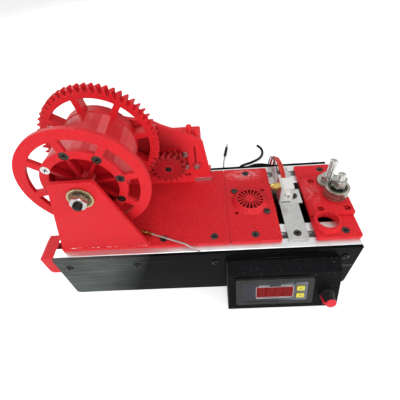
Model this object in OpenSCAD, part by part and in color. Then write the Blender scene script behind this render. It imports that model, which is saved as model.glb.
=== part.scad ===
// Bench machine that pulls cut plastic strip through a hot nozzle and winds it on a driven spool.
// X runs along the two long rails, Y from the control panel to the back, Z up from the table.

/* [Frame] */
// Width and height of a square slotted rail
rail_width = 30; // [28:1:32]
// Clear room between the two long rails
rail_gap = 60; // [56:1:70]
// Height of the room under the rails
skirt_height = 40; // [37:1:50]
// Width of a rail slot's mouth
slot_mouth = 8.2; // [7.8:0.1:8.6]
// Thickness of the lips beside a slot's mouth
slot_lip = 2.2; // [1.8:0.1:2.6]
// Width of the room behind the lips
slot_room = 16.5; // [15:0.1:17]
// Depth of a slot from the rail's face
slot_depth = 9.2; // [8.6:0.1:9.6]
// Radius of the hole along the rail's core
core_r = 3.4; // [2.5:0.1:3.6]
// Thickness of the front, rear and end panels
panel_thick = 3; // [2:0.5:4]
// Thickness of the bottom plate
floor_thick = 3; // [2:0.5:4]
// Radius of the panels' lower corners
panel_corner_r = 4; // [1:0.5:6]
// Thickness of the moulded cap on a rail's left end
cap_thick = 16.5; // [8:0.1:18]
// Bevel around that cap
cap_bevel = 4; // [2:0.5:6]

/* [Deck plates] */
// Thickness of the red plates on the rails
plate_thick = 4; // [3:0.5:5]
// Bare rail in front of the plates and behind them
plate_margin = 7; // [5:0.5:9]
// Bare rail left of the base plate
base_plate_start = 8; // [4:1:12]
// Length of the base plate under the spool
base_plate_length = 170.6; // [168:0.2:174]
// Length of the fan plate
fan_plate_length = 51.2; // [48:0.2:54]
// Gap between neighbouring plates
plate_seam = 0.2; // [0.1:0.1:1]
// Gap between the fan plate and the cross bar
bar_gap = 6; // [5:0.5:12]
// Gap between the cross bar and the cutter plate
cutter_gap = 7.5; // [7:0.5:14]
// Length of the cutter plate
cutter_plate_length = 43.5; // [42:0.5:46]
// How far the cutter plate reaches past the rails
cutter_overhang = 2; // [0:0.5:4]
// Radius of the plates' corners
plate_corner_r = 2; // [0.5:0.5:3]
// Height of the raised pad under the cutter posts
pad_height = 5; // [4:0.5:6]
// Depth of that pad from front to back
pad_depth = 53.5; // [50:0.5:58]
// Width of that pad
pad_width = 39; // [37:0.5:40]
// Radius of the hole in the raised ring
ring_bore_r = 10.5; // [8:0.5:11]
// Outer radius of the raised ring at its top
ring_top_r = 13; // [12.4:0.2:15]
// Outer radius of the raised ring at its foot
ring_foot_r = 15; // [14:0.2:16.6]
// Height of the raised ring above the plate
ring_height = 5.6; // [3:0.2:7]

/* [Fan] */
// Side of the square fan
fan_size = 40; // [40:1:42]
// Height of the fan's frame
fan_height = 10; // [8:0.5:12]
// Spacing of the fan's fixing holes
fan_hole_spacing = 32; // [32:0.5:34]
// Number of blades on the fan
fan_blades = 7; // [5:1:9]
// Number of slots in the grille
grille_slots = 18; // [12:1:24]
// Width of a bar between two slots
grille_bar = 1.4; // [1:0.1:1.8]
// Radius around which the slots end
grille_r = 14; // [12:0.5:15]
// Radius of the closed disc in the grille's middle
grille_hub_r = 6; // [4:0.5:8]
// Height of the grille's cone above the plate
grille_height = 4.4; // [3:0.2:6]

/* [Spool] */
// Distance of the spool's axle from the rails' left end
axle_from_end = 55.3; // [52:0.1:60]
// Height of the axle above the deck
axle_above_deck = 77; // [74:0.5:84]
// Radius of the threaded axle and of the cutter bolts
bolt_r = 4; // [3.5:0.5:4]
// Radius of the spool's flange
flange_r = 56.5; // [54:0.5:60]
// Thickness of the front flange
flange_thick = 4; // [3:0.5:5]
// Inner radius of the flange's outer rim
flange_rim_r = 47; // [45:0.5:49]
// Number of spokes in the flange and in the gear
spoke_count = 8; // [5:1:10]
// Width of a spoke
spoke_width = 6; // [4:0.5:9]
// Angle of the first spoke
spoke_angle = 9.7; // [0:0.1:40]
// Outer radius of the drum
drum_r = 36; // [34:0.5:38]
// Wall of the drum
drum_wall = 7; // [5.5:0.5:9]
// Radius of the drum's hub
hub_r = 9; // [7:0.5:12]
// Thickness of the ribs between hub and drum
rib_thick = 3; // [2:0.5:4]

/* [Gears] */
// Module of the two gears
gear_module = 2; // [1.9:0.05:2.05]
// Teeth on the spool's gear
gear_teeth = 56; // [54:1:57]
// Teeth on the pinion
pinion_teeth = 17; // [15:1:18]
// Width of the teeth
gear_width = 11; // [8:1:12]
// Helix angle of each half of a double-helical tooth
helix_angle = 26; // [0:1:30]
// Play between the flanks, along the pitch circle
gear_play = 0.5; // [0.4:0.05:0.8]
// Pressure angle of the teeth
pressure_angle = 20; // [20:1:22]
// Direction from the axle to the pinion, below the horizontal
pinion_drop = 31.2; // [29:0.1:34]
// Inner radius of the gear's toothed rim
gear_rim_r = 49; // [46:0.5:50]

/* [Brackets] */
// Distance of the front bracket from the rail's front face
bracket_inset = 7.6; // [7:0.2:9]
// Distance of the rear bracket's front face from the rear rail's back
rear_inset = 23.6; // [22:0.1:26]
// Thickness of the front bracket
bracket_thick = 3.6; // [3:0.2:5]
// Thickness of the rear bracket's plate
rear_thick = 5; // [4:0.5:6]
// Depth of the rear bracket's seat for the bearing
rear_seat = 10; // [9:0.5:12]
// Reach of a bracket's foot left of the axle
foot_left = 46; // [42:1:50]
// Reach of the front bracket's foot right of the axle
foot_right = 42.5; // [38:0.5:46]
// Reach of the front bracket's top left of the axle
front_top_left = 22.5; // [20:0.5:26]
// Reach of the front bracket's top right of the axle
front_top_right = 16.5; // [15:0.5:20]
// Height of the front bracket's top above the axle
front_rise = 16.5; // [15:0.5:20]
// Half of the rear bracket's width at its top
bracket_top_half = 20; // [17:0.5:24]
// Height of the rear bracket's top above the axle
bracket_rise = 19; // [16:0.5:22]
// Bevel of a bracket's top corners
bracket_bevel = 3; // [1:0.5:5]
// Gap between the front bracket and the flange
front_gap = 10.8; // [9:0.2:12]
// Gap between the gear and the rear bracket
rear_gap = 5.4; // [5:0.1:8]
// Thickness of the packing strip under the rear bracket's foot
packing_thick = 5.5; // [3:0.5:7]
// Outer radius of the ball bearings
bearing_r = 11; // [10.5:0.5:11]
// Width of the ball bearings
bearing_width = 7; // [6:0.5:8]
// Outer radius of a bearing's inner ring
inner_ring_r = 6.2; // [5.6:0.1:6.6]

/* [Motor] */
// Length of the worm gearbox
gearbox_length = 46; // [44:1:48]
// Height of the worm gearbox
gearbox_height = 32; // [30:1:34]
// Depth of the worm gearbox
gearbox_depth = 25; // [22:1:28]
// Distance of the output shaft from the gearbox's right side
gearbox_shaft_offset = 22; // [20:1:24]
// Radius of the output shaft
shaft_r = 3; // [2.5:0.25:3.25]
// Radius of the motor's can
can_r = 12; // [10:0.5:12.5]
// Length of the motor's can
can_length = 31; // [26:1:36]
// Wall of the motor cover
cover_wall = 2.4; // [1.6:0.2:3]

/* [Hot end] */
// Width of the flat cross bar
bar_width = 20; // [18:0.5:22]
// Thickness of the flat cross bar
bar_thick = 3; // [2:0.5:4]
// Thickness of the aluminium angle
angle_thick = 2.4; // [2:0.2:3]
// Height of the angle's upright leg
angle_height = 26; // [24:1:30]
// Length of the angle's lying leg
angle_foot = 25.4; // [24:0.2:28]
// Depth of the angle
angle_depth = 20; // [18:1:24]
// Size of the heater block along X
block_length = 11.5; // [10:0.5:14]
// Depth of the heater block
block_depth = 16; // [14:0.5:18]
// Height of the heater block
block_height = 20; // [18:0.5:21]
// Radius of the heater cartridge
cartridge_r = 3; // [2.5:0.25:3.25]
// Radius of the nozzle's hole
nozzle_bore_r = 0.9; // [0.5:0.05:1.2]
// Size of the nozzle's hexagon across its corners
nozzle_hex_r = 4.25; // [3.5:0.25:4.5]

/* [Cutter] */
// Height of the cutter bolts above the pad
post_height = 31.5; // [29:0.5:36]
// Outer radius of the front cutter ring
front_ring_r = 12.3; // [11:0.1:12.6]
// Height of the front cutter ring
front_ring_height = 10.4; // [8.5:0.1:11]
// Outer radius of the collar under the front ring
collar_r = 9.5; // [8:0.1:9.5]
// Depth of the pocket that holds the rear ring
pocket_depth = 4; // [3:0.5:4]
// Height above the rear ring at which the front ring turns
shear_gap = 0.3; // [0.3:0.1:0.6]

/* [Console] */
// How far left of the fan plate the console starts
console_lead = 4.8; // [2:0.2:10]
// Width of the console left of the controller
controller_room = 8.2; // [4:0.2:12]
// Width of the console right of the controller
knob_room = 27.4; // [26:0.2:34]
// Wall of the console
console_wall = 3; // [2:0.5:4]
// Lean of the console's face from upright
console_tilt = 20; // [16:1:24]
// Height of the console's underside above the table
console_base = 4; // [3:0.5:6]
// Drop from the deck to where the console's top meets the front panel
console_back_drop = 16.4; // [14:0.2:18]
// Drop from the deck to the console's front edge
console_lip_drop = 23.2; // [22:0.2:24]
// Reach of the console's front edge from the panel
console_lip_reach = 12.5; // [11:0.5:14]
// Width of the controller's bezel
bezel_width = 78; // [76:0.5:80]
// Height of the controller's bezel
bezel_height = 33; // [32:0.5:35]
// Thickness of the controller's bezel
bezel_thick = 3.2; // [3:0.2:4]
// Depth of the controller's body behind the bezel
controller_depth = 20; // [16:1:20]
// Width of the controller's face
face_width = 67; // [64:0.5:69]
// Height of the controller's face
face_height = 25; // [24:0.5:26]
// Width of the red display window
display_width = 36.5; // [34:0.5:38]
// Height of the red display window
display_height = 12.8; // [11:0.2:14]
// Width of a button
button_width = 8; // [7:0.2:8.6]
// Height of a button
button_height = 5.6; // [5:0.2:6]
// Travel of a button
button_travel = 0.8; // [0.5:0.1:1]
// Radius of the knob's foot
knob_foot_r = 7.5; // [6.5:0.5:9]
// Radius of the knob's tip
knob_tip_r = 5.3; // [5:0.1:6.5]
// Length of the knob
knob_length = 13.2; // [12:0.2:18]

/* [Screws] */
// Radius of the small screws
screw_r = 2; // [1.5:0.25:2]
// Head radius of the countersunk screws
sunk_head_r = 4; // [3.5:0.1:4.2]
// Height of a countersunk head
sunk_head_h = 2.2; // [1.8:0.1:2.4]
// Head radius of the button-head screws
button_head_r = 3.6; // [3.4:0.1:3.7]
// Height of a button head
button_head_h = 2.2; // [1.8:0.1:2.6]
// Size of the big nuts across their flats
nut_flats = 13; // [12:0.5:13]
// Height of the big nuts
nut_height = 6.5; // [5:0.5:6.5]

/* [Leads] */
// Radius of the supply lead
supply_r = 1.9; // [1.6:0.1:2]
// Radius of the thin sensor lead
sensor_r = 1; // [0.8:0.1:1]
// Radius of a heater lead
heater_lead_r = 1.4; // [1.2:0.1:1.4]
// Radius of the filament
filament_r = 0.875; // [0.8:0.005:0.9]

/* [Hidden] */
$fn = 64;
// How far a cut runs past the face that it opens
overrun = 1;
// Room between a screw's shank and its hole
screw_play = 0.1;
// Room between a shaft or ring and the bore that it turns in
turning_play = 0.08;
// Room between a bearing and its seat, or an axle and its ring
seat_play = 0.03;
// Room between parts that move past each other
running_gap = 0.4;

// Places that follow from the frame
rail_length = base_plate_start + base_plate_length + plate_seam + fan_plate_length + bar_gap
    + bar_width + cutter_gap + cutter_plate_length - cutter_overhang;
frame_depth = rail_gap + 2 * rail_width;
deck_height = skirt_height + rail_width;
plate_depth = frame_depth - 2 * plate_margin;
rail_left = -rail_length / 2;
rail_right = rail_length / 2;
front_face = -frame_depth / 2;
rear_face = frame_depth / 2;
slot_y = frame_depth / 2 - rail_width / 2;
plate_top = deck_height + plate_thick;
rail_edge = 1;
slot_side = 2.3;
slot_floor = 8;

// Places of the plates along the rails
base_plate_x = rail_left + base_plate_start;
fan_plate_x = base_plate_x + base_plate_length + plate_seam;
cutter_plate_x = rail_right + cutter_overhang - cutter_plate_length;
fan_x = fan_plate_x + fan_plate_length / 2;
bar_x = fan_plate_x + fan_plate_length + bar_gap + bar_width / 2;

// Places of the spool, from front to back
axle_x = rail_left + axle_from_end;
axle_z = deck_height + axle_above_deck;
bracket_y = front_face + bracket_inset;
flange_y = bracket_y + bracket_thick + front_gap;
drum_y = flange_y + flange_thick;
rear_y = rear_face - rear_inset;
gear_back_y = rear_y - rear_gap;
gear_y = gear_back_y - gear_width;
drum_length = gear_y - drum_y;
rear_back_y = rear_y + rear_thick;
bearing_proud = 1.5;
front_bearing_y = bracket_y - bearing_proud;
rear_bearing_y = rear_y + rear_seat - bearing_width;
rear_boss_r = bearing_r + 3;
axle_front_reach = 4;
axle_rear_reach = 6;
axle_nut_y = front_bearing_y - nut_height;
axle_front_y = axle_nut_y - axle_front_reach;
axle_rear_nut_y = rear_bearing_y + bearing_width;
axle_rear_y = axle_rear_nut_y + nut_height + axle_rear_reach;
spacer_r = inner_ring_r;
drum_bore_r = drum_r - drum_wall;
screw_circle_r = drum_r - drum_wall / 2;
hub_lead = 1;
rib_recess = 1;
drum_web_thick = 4;
drum_web_drop = 5;
drum_sides = 32;

// Gear shapes
gear_pitch_r = gear_module * gear_teeth / 2;
pinion_pitch_r = gear_module * pinion_teeth / 2;
centre_distance = gear_pitch_r + pinion_pitch_r;
pinion_x = axle_x + centre_distance * cos(pinion_drop);
pinion_z = axle_z - centre_distance * sin(pinion_drop);
root_share = 1.25;
flank_steps = 3;
pinion_hub_r = 9;
pinion_hub_length = 3.5;
shaft_recess = 1.5;
shaft_depth = 8;
gearbox_boss_r = 6.5;
gearbox_boss_h = 1.5;

// The two brackets
foot_depth = 11;
front_foot_right = 30.5;
foot_thick = 5;
window_left = 15;
window_right = 14;
shoulder_x_shares = [0.37, 0.45, 0.5, 0.57, 0.66, 0.685, 0.775, 0.855, 0.9, 0.922];
shoulder_z_shares = [0.9, 0.85, 0.825, 0.795, 0.79, 0.735, 0.7, 0.655, 0.63, 0.58];
rear_foot_right = 108;
packing_length = 19.5;
t_head_length = 10;
t_head_width = 12.4;
t_head_h = 3.8;
small_nut_flats = 7;
small_nut_h = 3.2;
adjust_slot_width = 2;
adjust_slot_length = 22;
adjust_boss_r = 4.6;
adjust_boss_h = 1.2;
adjust_from_shaft = 30;
adjust_drop = 10.4;
clamp_slot_width = 4.2;
clamp_slot_length = 24;
clamp_from_shaft = 18.3;
clamp_drop = 2;
clamp_spacing = 18;
oval_from_shaft = 18.3;
oval_drop = 23.6;
oval_length = 8.2;
oval_width = 4;

// Motor and its cover
gearbox_x = pinion_x + gearbox_shaft_offset - gearbox_length;
cover_room = 0.9;
cover_right = 55.4;
cover_boss_r = 3.05;
cover_boss_y = 7;
cover_boss_spacing = 7;
cover_boss_from_shaft = 24.4;
cover_boss_h = 15;
cover_boss_step = 4;
cover_pillar_r = 4.5;
can_end_r = 4;
can_end_h = 2;

// Hot end
angle_reach = 1.6;
angle_x = bar_x - bar_width / 2 - angle_reach;
angle_y = -7.2;
block_inset = 1.6;
block_y = angle_y + block_inset;
block_lift = 1;
nozzle_shift = 1.2;
nozzle_share = 0.72;
block_x = angle_x + angle_thick;
block_z = deck_height + bar_thick + angle_thick + block_lift;
nozzle_y = block_y + block_depth / 2 + nozzle_shift;
nozzle_z = block_z + block_height * nozzle_share;
nozzle_hex_l = 6.4;
nozzle_collar = 1.6;
nozzle_tip_l = 2.4;
nozzle_tip_r = 1;
nozzle_thread_r = 3;
nozzle_thread_l = 6;
cartridge_drop = 8.4;
cartridge_length = 11;
thermistor_r = 1;
thermistor_length = 8;
inlet_r = 2;
cartridge_shift = 1.5;
cartridge_x = block_x + block_length / 2 + cartridge_shift;
cartridge_z = nozzle_z - cartridge_drop;
thermistor_shift = 3.75;
thermistor_drop = 6.4;
thermistor_x = block_x + block_length / 2 - thermistor_shift;
thermistor_z = nozzle_z - thermistor_drop;
block_back_y = block_y + block_depth;
angle_screw_inset = 7.4;
pan_head_r = 3.4;
pan_head_h = 2.4;
pan_screw_l = 7;

// Cutter
rear_post_inset = 28.8;
rear_post_x = cutter_plate_x + rear_post_inset;
rear_post_y = 18.5;
front_post_inset = 30.3;
front_post_x = cutter_plate_x + front_post_inset;
front_post_y = -2.5;
pad_top = plate_top + pad_height;
pad_reach = 0.5;
pad_x = rail_right + cutter_overhang + pad_reach - pad_width;
pad_y = -26.5;
pad_slope = 5;
pocket_wall = 0.4;
pad_hole_inset = 6.2;
pad_hole_r = 1.7;
pad_hole_head_r = 3.6;
pad_hole_head_h = 2.5;
ring_inset = 14;
ring_x = cutter_plate_x + ring_inset;
ring_from_edge = 18.2;
ring_y = ring_from_edge - plate_depth / 2;
bolt_head_h = 5.3;
recess_r = 7.6;
recess_depth = 2.3;
bush_top = pad_top - pocket_depth + bearing_width;
rear_ring_z = pad_top - pocket_depth + shear_gap;
collar_top = bush_top - shear_gap;
front_ring_z = bush_top;

// Console and what it holds
console_x = fan_plate_x - console_lead;
console_width = controller_room + bezel_width + knob_room;
console_back_height = deck_height - console_back_drop;
console_lip_height = deck_height - console_lip_drop;
console_face_length = (console_lip_height - console_base) / cos(console_tilt);
console_y = front_face - panel_thick;
console_lip_y = console_y - console_lip_reach;
console_foot_y = console_lip_y - (console_lip_height - console_base) * tan(console_tilt);
controller_x = console_x + controller_room + bezel_width / 2;
bezel_top = 3.7;
controller_down = bezel_top + bezel_height / 2;
controller_play = 0.2;
body_inset = 3;
bezel_corner_r = 2;
face_recess = 1.6;
face_play = 0.1;
face_thick = 1;
face_drop = 0.7;
display_proud = 0.2;
display_x = 0.2;
display_y = -0.6;
button_x = 26.1;
upper_button_y = 3.9;
lower_button_y = -5.8;
button_gap = 0.35;
button_proud = 1;
button_pocket = 2.2;
indicator_r = 0.9;
indicator_proud = 0.2;
indicator_y = 10.4;
indicator_x_shares = [-0.275, 0.3];
knob_from_right = 12.7;
knob_x = console_x + console_width - knob_from_right;
knob_share = 0.61475;
knob_down = knob_share * console_face_length;
knob_gap = 0.5;
knob_flute_count = 18;
knob_flute_r = 0.7;
knob_cap_r = 4.2;
knob_cap_h = 0.6;
knob_skirt_h = 3;
pot_bush_r = 3.6;
pot_nut_flats = 10;
pot_nut_h = 2;
pot_body_r = 8;
pot_body_h = 8;
pot_shaft_r = 3;
board_width = 18;
board_height = 16;
board_thick = 1.6;
panel_window_play = 4;

// Strand, brass guide and leads
guide_r = 2.2;
guide_length = 12;
grommet_flange_r = 2;
grommet_flange_h = 1.6;
supply_relief = 14;
sensor_relief = 6;
supply_x = 40;
sensor_x = 28;
outlet_z = 20;
lead_hole_left = 5;
lead_hole_x = bar_x - lead_hole_left;
lead_hole_drop = 36;
lead_hole_z = deck_height - lead_hole_drop;
lead_hole_r = 6;
sleeve_r = 1.5;
sleeve_length = 23;
tip_r = 1.1;
tip_length = 9;
thin_lead_corners = 6;

// Shares of the rail's length at which the panel screws stand
panel_screw_shares = [0.04, 0.272, 0.534, 0.957];
panel_screw_length = 10;
plate_screw_length = 12;
fan_screw_length = 16;
flange_screw_length = 13;

// Route moved by the place that its points are measured from
function from_place(place, points) = [for (p = points) place + p];
// Route of the supply lead behind the rear rail's back, round one loop on the table to its bare end
supply_route = from_place([0, rear_face, 0], [
    [40, 17, 20], [40, 23, 20], [40.5, 30, 16.5], [42, 37, 10], [44.5, 44, 5], [48, 52, 1.9],
    [53, 62, 1.9], [61, 72, 1.9], [72, 79, 1.9], [84, 83, 1.9], [97, 82, 1.9], [109, 77, 1.9],
    [118, 67, 1.9], [122, 54, 1.9], [120, 40, 1.9], [112, 28, 1.9], [100, 20, 1.9], [87, 17, 1.9],
    [74, 20, 1.9], [64, 28, 1.9], [58, 39, 3.5], [55, 51, 6.2], [54.5, 63, 8.4], [57.5, 74, 7.4],
    [65, 82, 4.4], [76, 89, 1.9], [88, 96, 1.9], [95, 104, 1.9], [98, 113, 1.9], [98, 122, 1.9],
    [95, 129, 1.9], [92, 133, 1.9]]);
// Route of the sensor lead behind the rear rail's back, straight on the table to its sleeve
sensor_route = from_place([0, rear_face, 0], [
    [28, 9, 20], [28, 13, 20], [28.2, 19, 18], [28.4, 25, 13], [28.6, 31, 7], [28.8, 38, 2.5],
    [29, 45, 1], [29.6, 60, 1], [30.6, 78, 1], [32, 94, 1], [33.2, 101, 1.2], [34.4, 107, 1.5],
    [34.8, 109, 1.5]]);
// Point on the controller's rear face, or at a distance behind it
function behind_case(x, up, back) =
    let (down = controller_down - up, deep = controller_depth + back)
    [controller_x + x, console_lip_y - down * sin(console_tilt) + deep * cos(console_tilt),
     console_lip_height - down * cos(console_tilt) - deep * sin(console_tilt)];
// Routes of the two heater leads, over the rear rail, through the rear panel and to the controller,
// first from the block's back, then from the bar's middle on the rear rail's top edge, last inside
bar_back = [bar_x, rear_face, deck_height];
bar_front = [bar_x, front_face, deck_height];
lead_spacing = 1.5;
heater_route_a = concat(
    from_place([cartridge_x - lead_spacing, block_back_y, cartridge_z], [[0, 0, 0], [0, 4, 0]]),
    from_place(bar_back, [[-4.3, -39, 16.5], [-5.3, -30, 21.8], [-6.3, -19, 23.4], [-6.9, -9, 20.8],
        [-7, -1, 15.4], [-6.9, 5, 6], [-6.9, 8, -6], [-6.9, 8, -22], [-6.9, 6, -31],
        [-6.9, 0.5, -36], [-7, -10, -37.5]]),
    from_place(bar_front, [[-9, 70, -39], [-13.5, 35, -44]]),
    [behind_case(5, 2, 8), behind_case(5, 2, 0)]);
heater_route_b = concat(
    from_place([cartridge_x + lead_spacing, block_back_y, cartridge_z], [[0, 0, 0], [0, 4, 0]]),
    from_place(bar_back, [[-0.9, -39, 14.6], [-1.6, -30, 19.4], [-2.5, -19, 21], [-3.1, -9, 18.8],
        [-3.2, -1, 13.9], [-3.1, 5, 5.2], [-3.1, 8, -6], [-3.1, 8, -22], [-3.1, 6, -31],
        [-3.1, 0.5, -36], [-3.2, -10, -37.5]]),
    from_place(bar_front, [[-5, 70, -39], [-9.5, 35, -44]]),
    [behind_case(9, 2, 8), behind_case(9, 2, 0)]);
// Route of the thermistor's lead beside them
thermistor_route = concat(
    from_place([thermistor_x, block_back_y, thermistor_z], [[0, 0, 0], [0, 3, 0]]),
    from_place(bar_back, [[-7.9, -39, 18.5], [-9.1, -30, 23.5], [-9.9, -19, 25], [-10.1, -9, 21.6],
        [-9.9, -1, 16], [-9.7, 5, 6.4], [-9.5, 7.6, -6], [-9.5, 7.6, -22], [-9.5, 6.2, -32],
        [-9.5, 0.5, -36.5], [-9.7, -10, -37.5]]),
    from_place(bar_front, [[-12, 70, -39], [-17, 35, -43.5]]),
    [behind_case(1, 4, 6), behind_case(1, 4, 0)]);
// Route of the loose end of filament, from the brass guide over the front rail's edge
filament_route = from_place([0, front_face, plate_top], [
    [-57, 21.3, 2.2], [-52, 19.4, 2.2], [-41, 15.2, 2.1], [-30, 11, 1.5], [-19, 6.7, 1],
    [-13, 4, -1], [-8, 1.7, -2.5], [-4, -0.4, -3]]);

// Unit vector along v
function unit(v) = v / norm(v);
// Direction of a route at its point i
function heading(p, i) = unit(p[min(i + 1, len(p) - 1)] - p[max(i - 1, 0)]);
// A direction across the first stretch of a route
function first_side(t) = unit(cross(t, abs(t[2]) < abs(t[1]) ? [0, 0, 1] : [0, 1, 0]));
// Directions across a route, carried on from point to point without twist
function sides_of(p, i, sides) = i == len(p) ? sides
    : let (t = heading(p, i), s = sides[i - 1])
      sides_of(p, i + 1, concat(sides, [unit(s - t * (s * t))]));

// Tube swept along the points of a route
module tube(route, r, corners = 8) {
    last = len(route) - 1;
    across = sides_of(route, 1, [first_side(heading(route, 0))]);
    rings = [for (i = [0 : last]) let (t = heading(route, i), s = across[i], w = cross(t, s))
        for (k = [0 : corners - 1])
            let (a = 360 * k / corners) route[i] + r * (cos(a) * s + sin(a) * w)];
    walls = [for (i = [0 : last - 1]) for (k = [0 : corners - 1])
        let (a = i * corners + k, b = i * corners + (k + 1) % corners)
        each [[a, b, a + corners], [b, b + corners, a + corners]]];
    start = [for (k = [corners - 1 : -1 : 0]) k];
    end = [for (k = [0 : corners - 1]) last * corners + k];
    polyhedron(points = rings, faces = concat(walls, [start, end]));
}

// Outline drawn as seen from the front, standing at x and z with its front face at y
module upright(x, y, z, depth)
    translate([x, y + depth, z]) rotate([90, 0, 0]) linear_extrude(height = depth) children();

// Outline drawn as seen from the right, Y across and Z up, reaching from x along the rails
module lengthwise(x, y, z, length)
    translate([x, y, z]) rotate([90, 0, 90]) linear_extrude(height = length) children();

// Round bar from y towards the back
module rod_back(x, y, z, length, r)
    translate([x, y + length, z]) rotate([90, 0, 0]) cylinder(h = length, r = r);

// Round bar upwards from z
module rod_up(x, y, z, length, r)
    translate([x, y, z]) cylinder(h = length, r = r);

// Rectangle with round corners, its lower left corner at the origin
module round_rect(w, h, r) {
    translate([r, 0]) square([w - 2 * r, h]);
    translate([0, r]) square([w, h - 2 * r]);
    for (x = [r, w - r], y = [r, h - r]) translate([x, y]) circle(r);
}

// Hexagon of a nut, by its size across the flats
module hexagon(flats) circle(r = flats / 2 / cos(30), $fn = 6);

// Hexagonal nut with its hole, standing up from z
module nut_up(x, y, z, flats, height, hole_r)
    translate([x, y, z]) difference() {
        linear_extrude(height = height) hexagon(flats);
        translate([0, 0, -overrun]) cylinder(h = height + 2 * overrun, r = hole_r);
    }

// Hexagonal nut around the axle, its front face at y
module nut_back(x, y, z, flats, height, hole_r)
    upright(x, y, z, height) difference() {
        hexagon(flats);
        circle(hole_r);
    }

// Screws point down from their head's top or bearing face at the origin
module socket_cut(top, flats, depth)
    translate([0, 0, top - depth]) linear_extrude(height = depth + overrun) hexagon(flats);

module button_screw(length) {
    socket_flats = button_head_r * 0.64;
    difference() {
        union() {
            rotate_extrude() intersection() {
                translate([0, button_head_h - button_head_r * 1.6]) circle(r = button_head_r * 1.6);
                square([button_head_r, button_head_h]);
            }
            translate([0, 0, -length]) cylinder(h = length, r = screw_r);
        }
        socket_cut(button_head_h, socket_flats, button_head_h * 0.6);
    }
}

module sunk_screw(length, cross_head) {
    slot_width = sunk_head_r * 0.22;
    slot_length = sunk_head_r * 1.1;
    slot_deep = sunk_head_h * 0.55;
    difference() {
        union() {
            translate([0, 0, -sunk_head_h]) cylinder(h = sunk_head_h, r1 = screw_r, r2 = sunk_head_r);
            translate([0, 0, -length]) cylinder(h = length - sunk_head_h, r = screw_r);
        }
        if (cross_head)
            for (turn = [0, 90]) rotate([0, 0, turn])
                translate([-slot_length / 2, -slot_width / 2, -slot_deep])
                    cube([slot_length, slot_width, slot_deep + overrun]);
        else
            socket_cut(0, sunk_head_r * 0.62, slot_deep);
    }
}

module sunk_hole(depth)
    union() {
        translate([0, 0, -depth]) cylinder(h = depth + overrun, r = screw_r + screw_play);
        translate([0, 0, -sunk_head_h - screw_play])
            cylinder(h = sunk_head_h, r1 = screw_r + screw_play, r2 = sunk_head_r + screw_play);
        translate([0, 0, -screw_play - screw_play]) cylinder(h = overrun, r = sunk_head_r + screw_play);
    }

// Cross-section of a slotted rail, centred
module slot_outline() {
    lip_y = rail_width / 2 - slot_lip;
    floor_y = rail_width / 2 - slot_depth;
    translate([-slot_mouth / 2, lip_y - slot_side / 2])
        square([slot_mouth, slot_lip + slot_side / 2 + overrun]);
    polygon([[-slot_room / 2, lip_y], [-slot_room / 2, lip_y - slot_side], [-slot_floor / 2, floor_y],
        [slot_floor / 2, floor_y], [slot_room / 2, lip_y - slot_side], [slot_room / 2, lip_y]]);
}

module rail_outline()
    difference() {
        intersection() {
            square(rail_width, center = true);
            rotate(45) square((rail_width - rail_edge) * sqrt(2), center = true);
        }
        for (turn = [0 : 90 : 270]) rotate(turn) slot_outline();
        circle(core_r);
    }

module long_rail(y)
    color("silver") lengthwise(rail_left, y, deck_height - rail_width / 2, rail_length) rail_outline();

module front_rail() long_rail(-slot_y);

module rear_rail() long_rail(slot_y);

// Cross members between the long rails, at the left end and under the base plate's right end
module cross_rails() {
    inner_depth = frame_depth - 2 * rail_width;
    places = [rail_left + rail_width / 2, base_plate_x + base_plate_length - rail_width];
    color("silver") for (x = places)
        upright(x, -inner_depth / 2, deck_height - rail_width / 2, inner_depth) rail_outline();
}

// Bevelled block on the left end of each long rail
module rail_end_caps() {
    side = rail_width - 1.5;
    color("crimson") for (y = [-slot_y, slot_y])
        translate([rail_left - cap_thick, y, deck_height - rail_width / 2])
            intersection() {
                lengthwise(0, 0, 0, cap_thick) translate([-side / 2, -side / 2]) square(side);
                translate([0, side / 2, 0]) rotate([90, 0, 0]) linear_extrude(height = side)
                    polygon([[cap_bevel, side / 2], [cap_thick, side / 2], [cap_thick, -side / 2],
                        [cap_bevel, -side / 2], [0, cap_bevel * 2 - side / 2], [0, side / 2 - cap_bevel]]);
                translate([0, 0, -side / 2]) linear_extrude(height = side)
                    polygon([[cap_bevel, side / 2], [cap_thick, side / 2], [cap_thick, -side / 2],
                        [cap_bevel / 2, -side / 2], [0, cap_bevel / 2 - side / 2],
                        [0, side / 2 - cap_bevel]]);
            }
}

// Outline of a long side panel, with round lower corners
module side_panel_outline() {
    translate([rail_left, 0]) round_rect(rail_length, deck_height / 2, panel_corner_r);
    translate([rail_left, deck_height / 4]) square([rail_length, deck_height * 3 / 4]);
}

module panel_screw_holes()
    for (share = panel_screw_shares)
        translate([rail_left + share * rail_length, deck_height - rail_width / 2])
            circle(screw_r + screw_play);

module front_panel() {
    window_width = bezel_width - 2 * body_inset + panel_window_play;
    window_low = floor_thick + 2;
    window_high = deck_height - rail_width - 1;
    color("black") upright(0, console_y, 0, panel_thick) difference() {
        side_panel_outline();
        panel_screw_holes();
        translate([controller_x - window_width / 2, window_low])
            square([window_width, window_high - window_low]);
    }
}

module rear_panel()
    color("black") upright(0, rear_face, 0, panel_thick) difference() {
        side_panel_outline();
        panel_screw_holes();
        translate([supply_x, outlet_z]) circle(supply_r + grommet_flange_r);
        translate([sensor_x, outlet_z]) circle(sensor_r + grommet_flange_r);
        translate([lead_hole_x, lead_hole_z]) circle(lead_hole_r);
    }

// Panels that close both ends below and between the rails
module end_panels() {
    throat = frame_depth - 2 * rail_width;
    color("black") for (x = [rail_left, rail_right - panel_thick]) lengthwise(x, 0, 0, panel_thick) {
        translate([front_face, floor_thick])
            square([frame_depth, deck_height - rail_width - floor_thick]);
        if (x > 0) translate([-throat / 2, floor_thick]) square([throat, deck_height - floor_thick]);
    }
}

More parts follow.
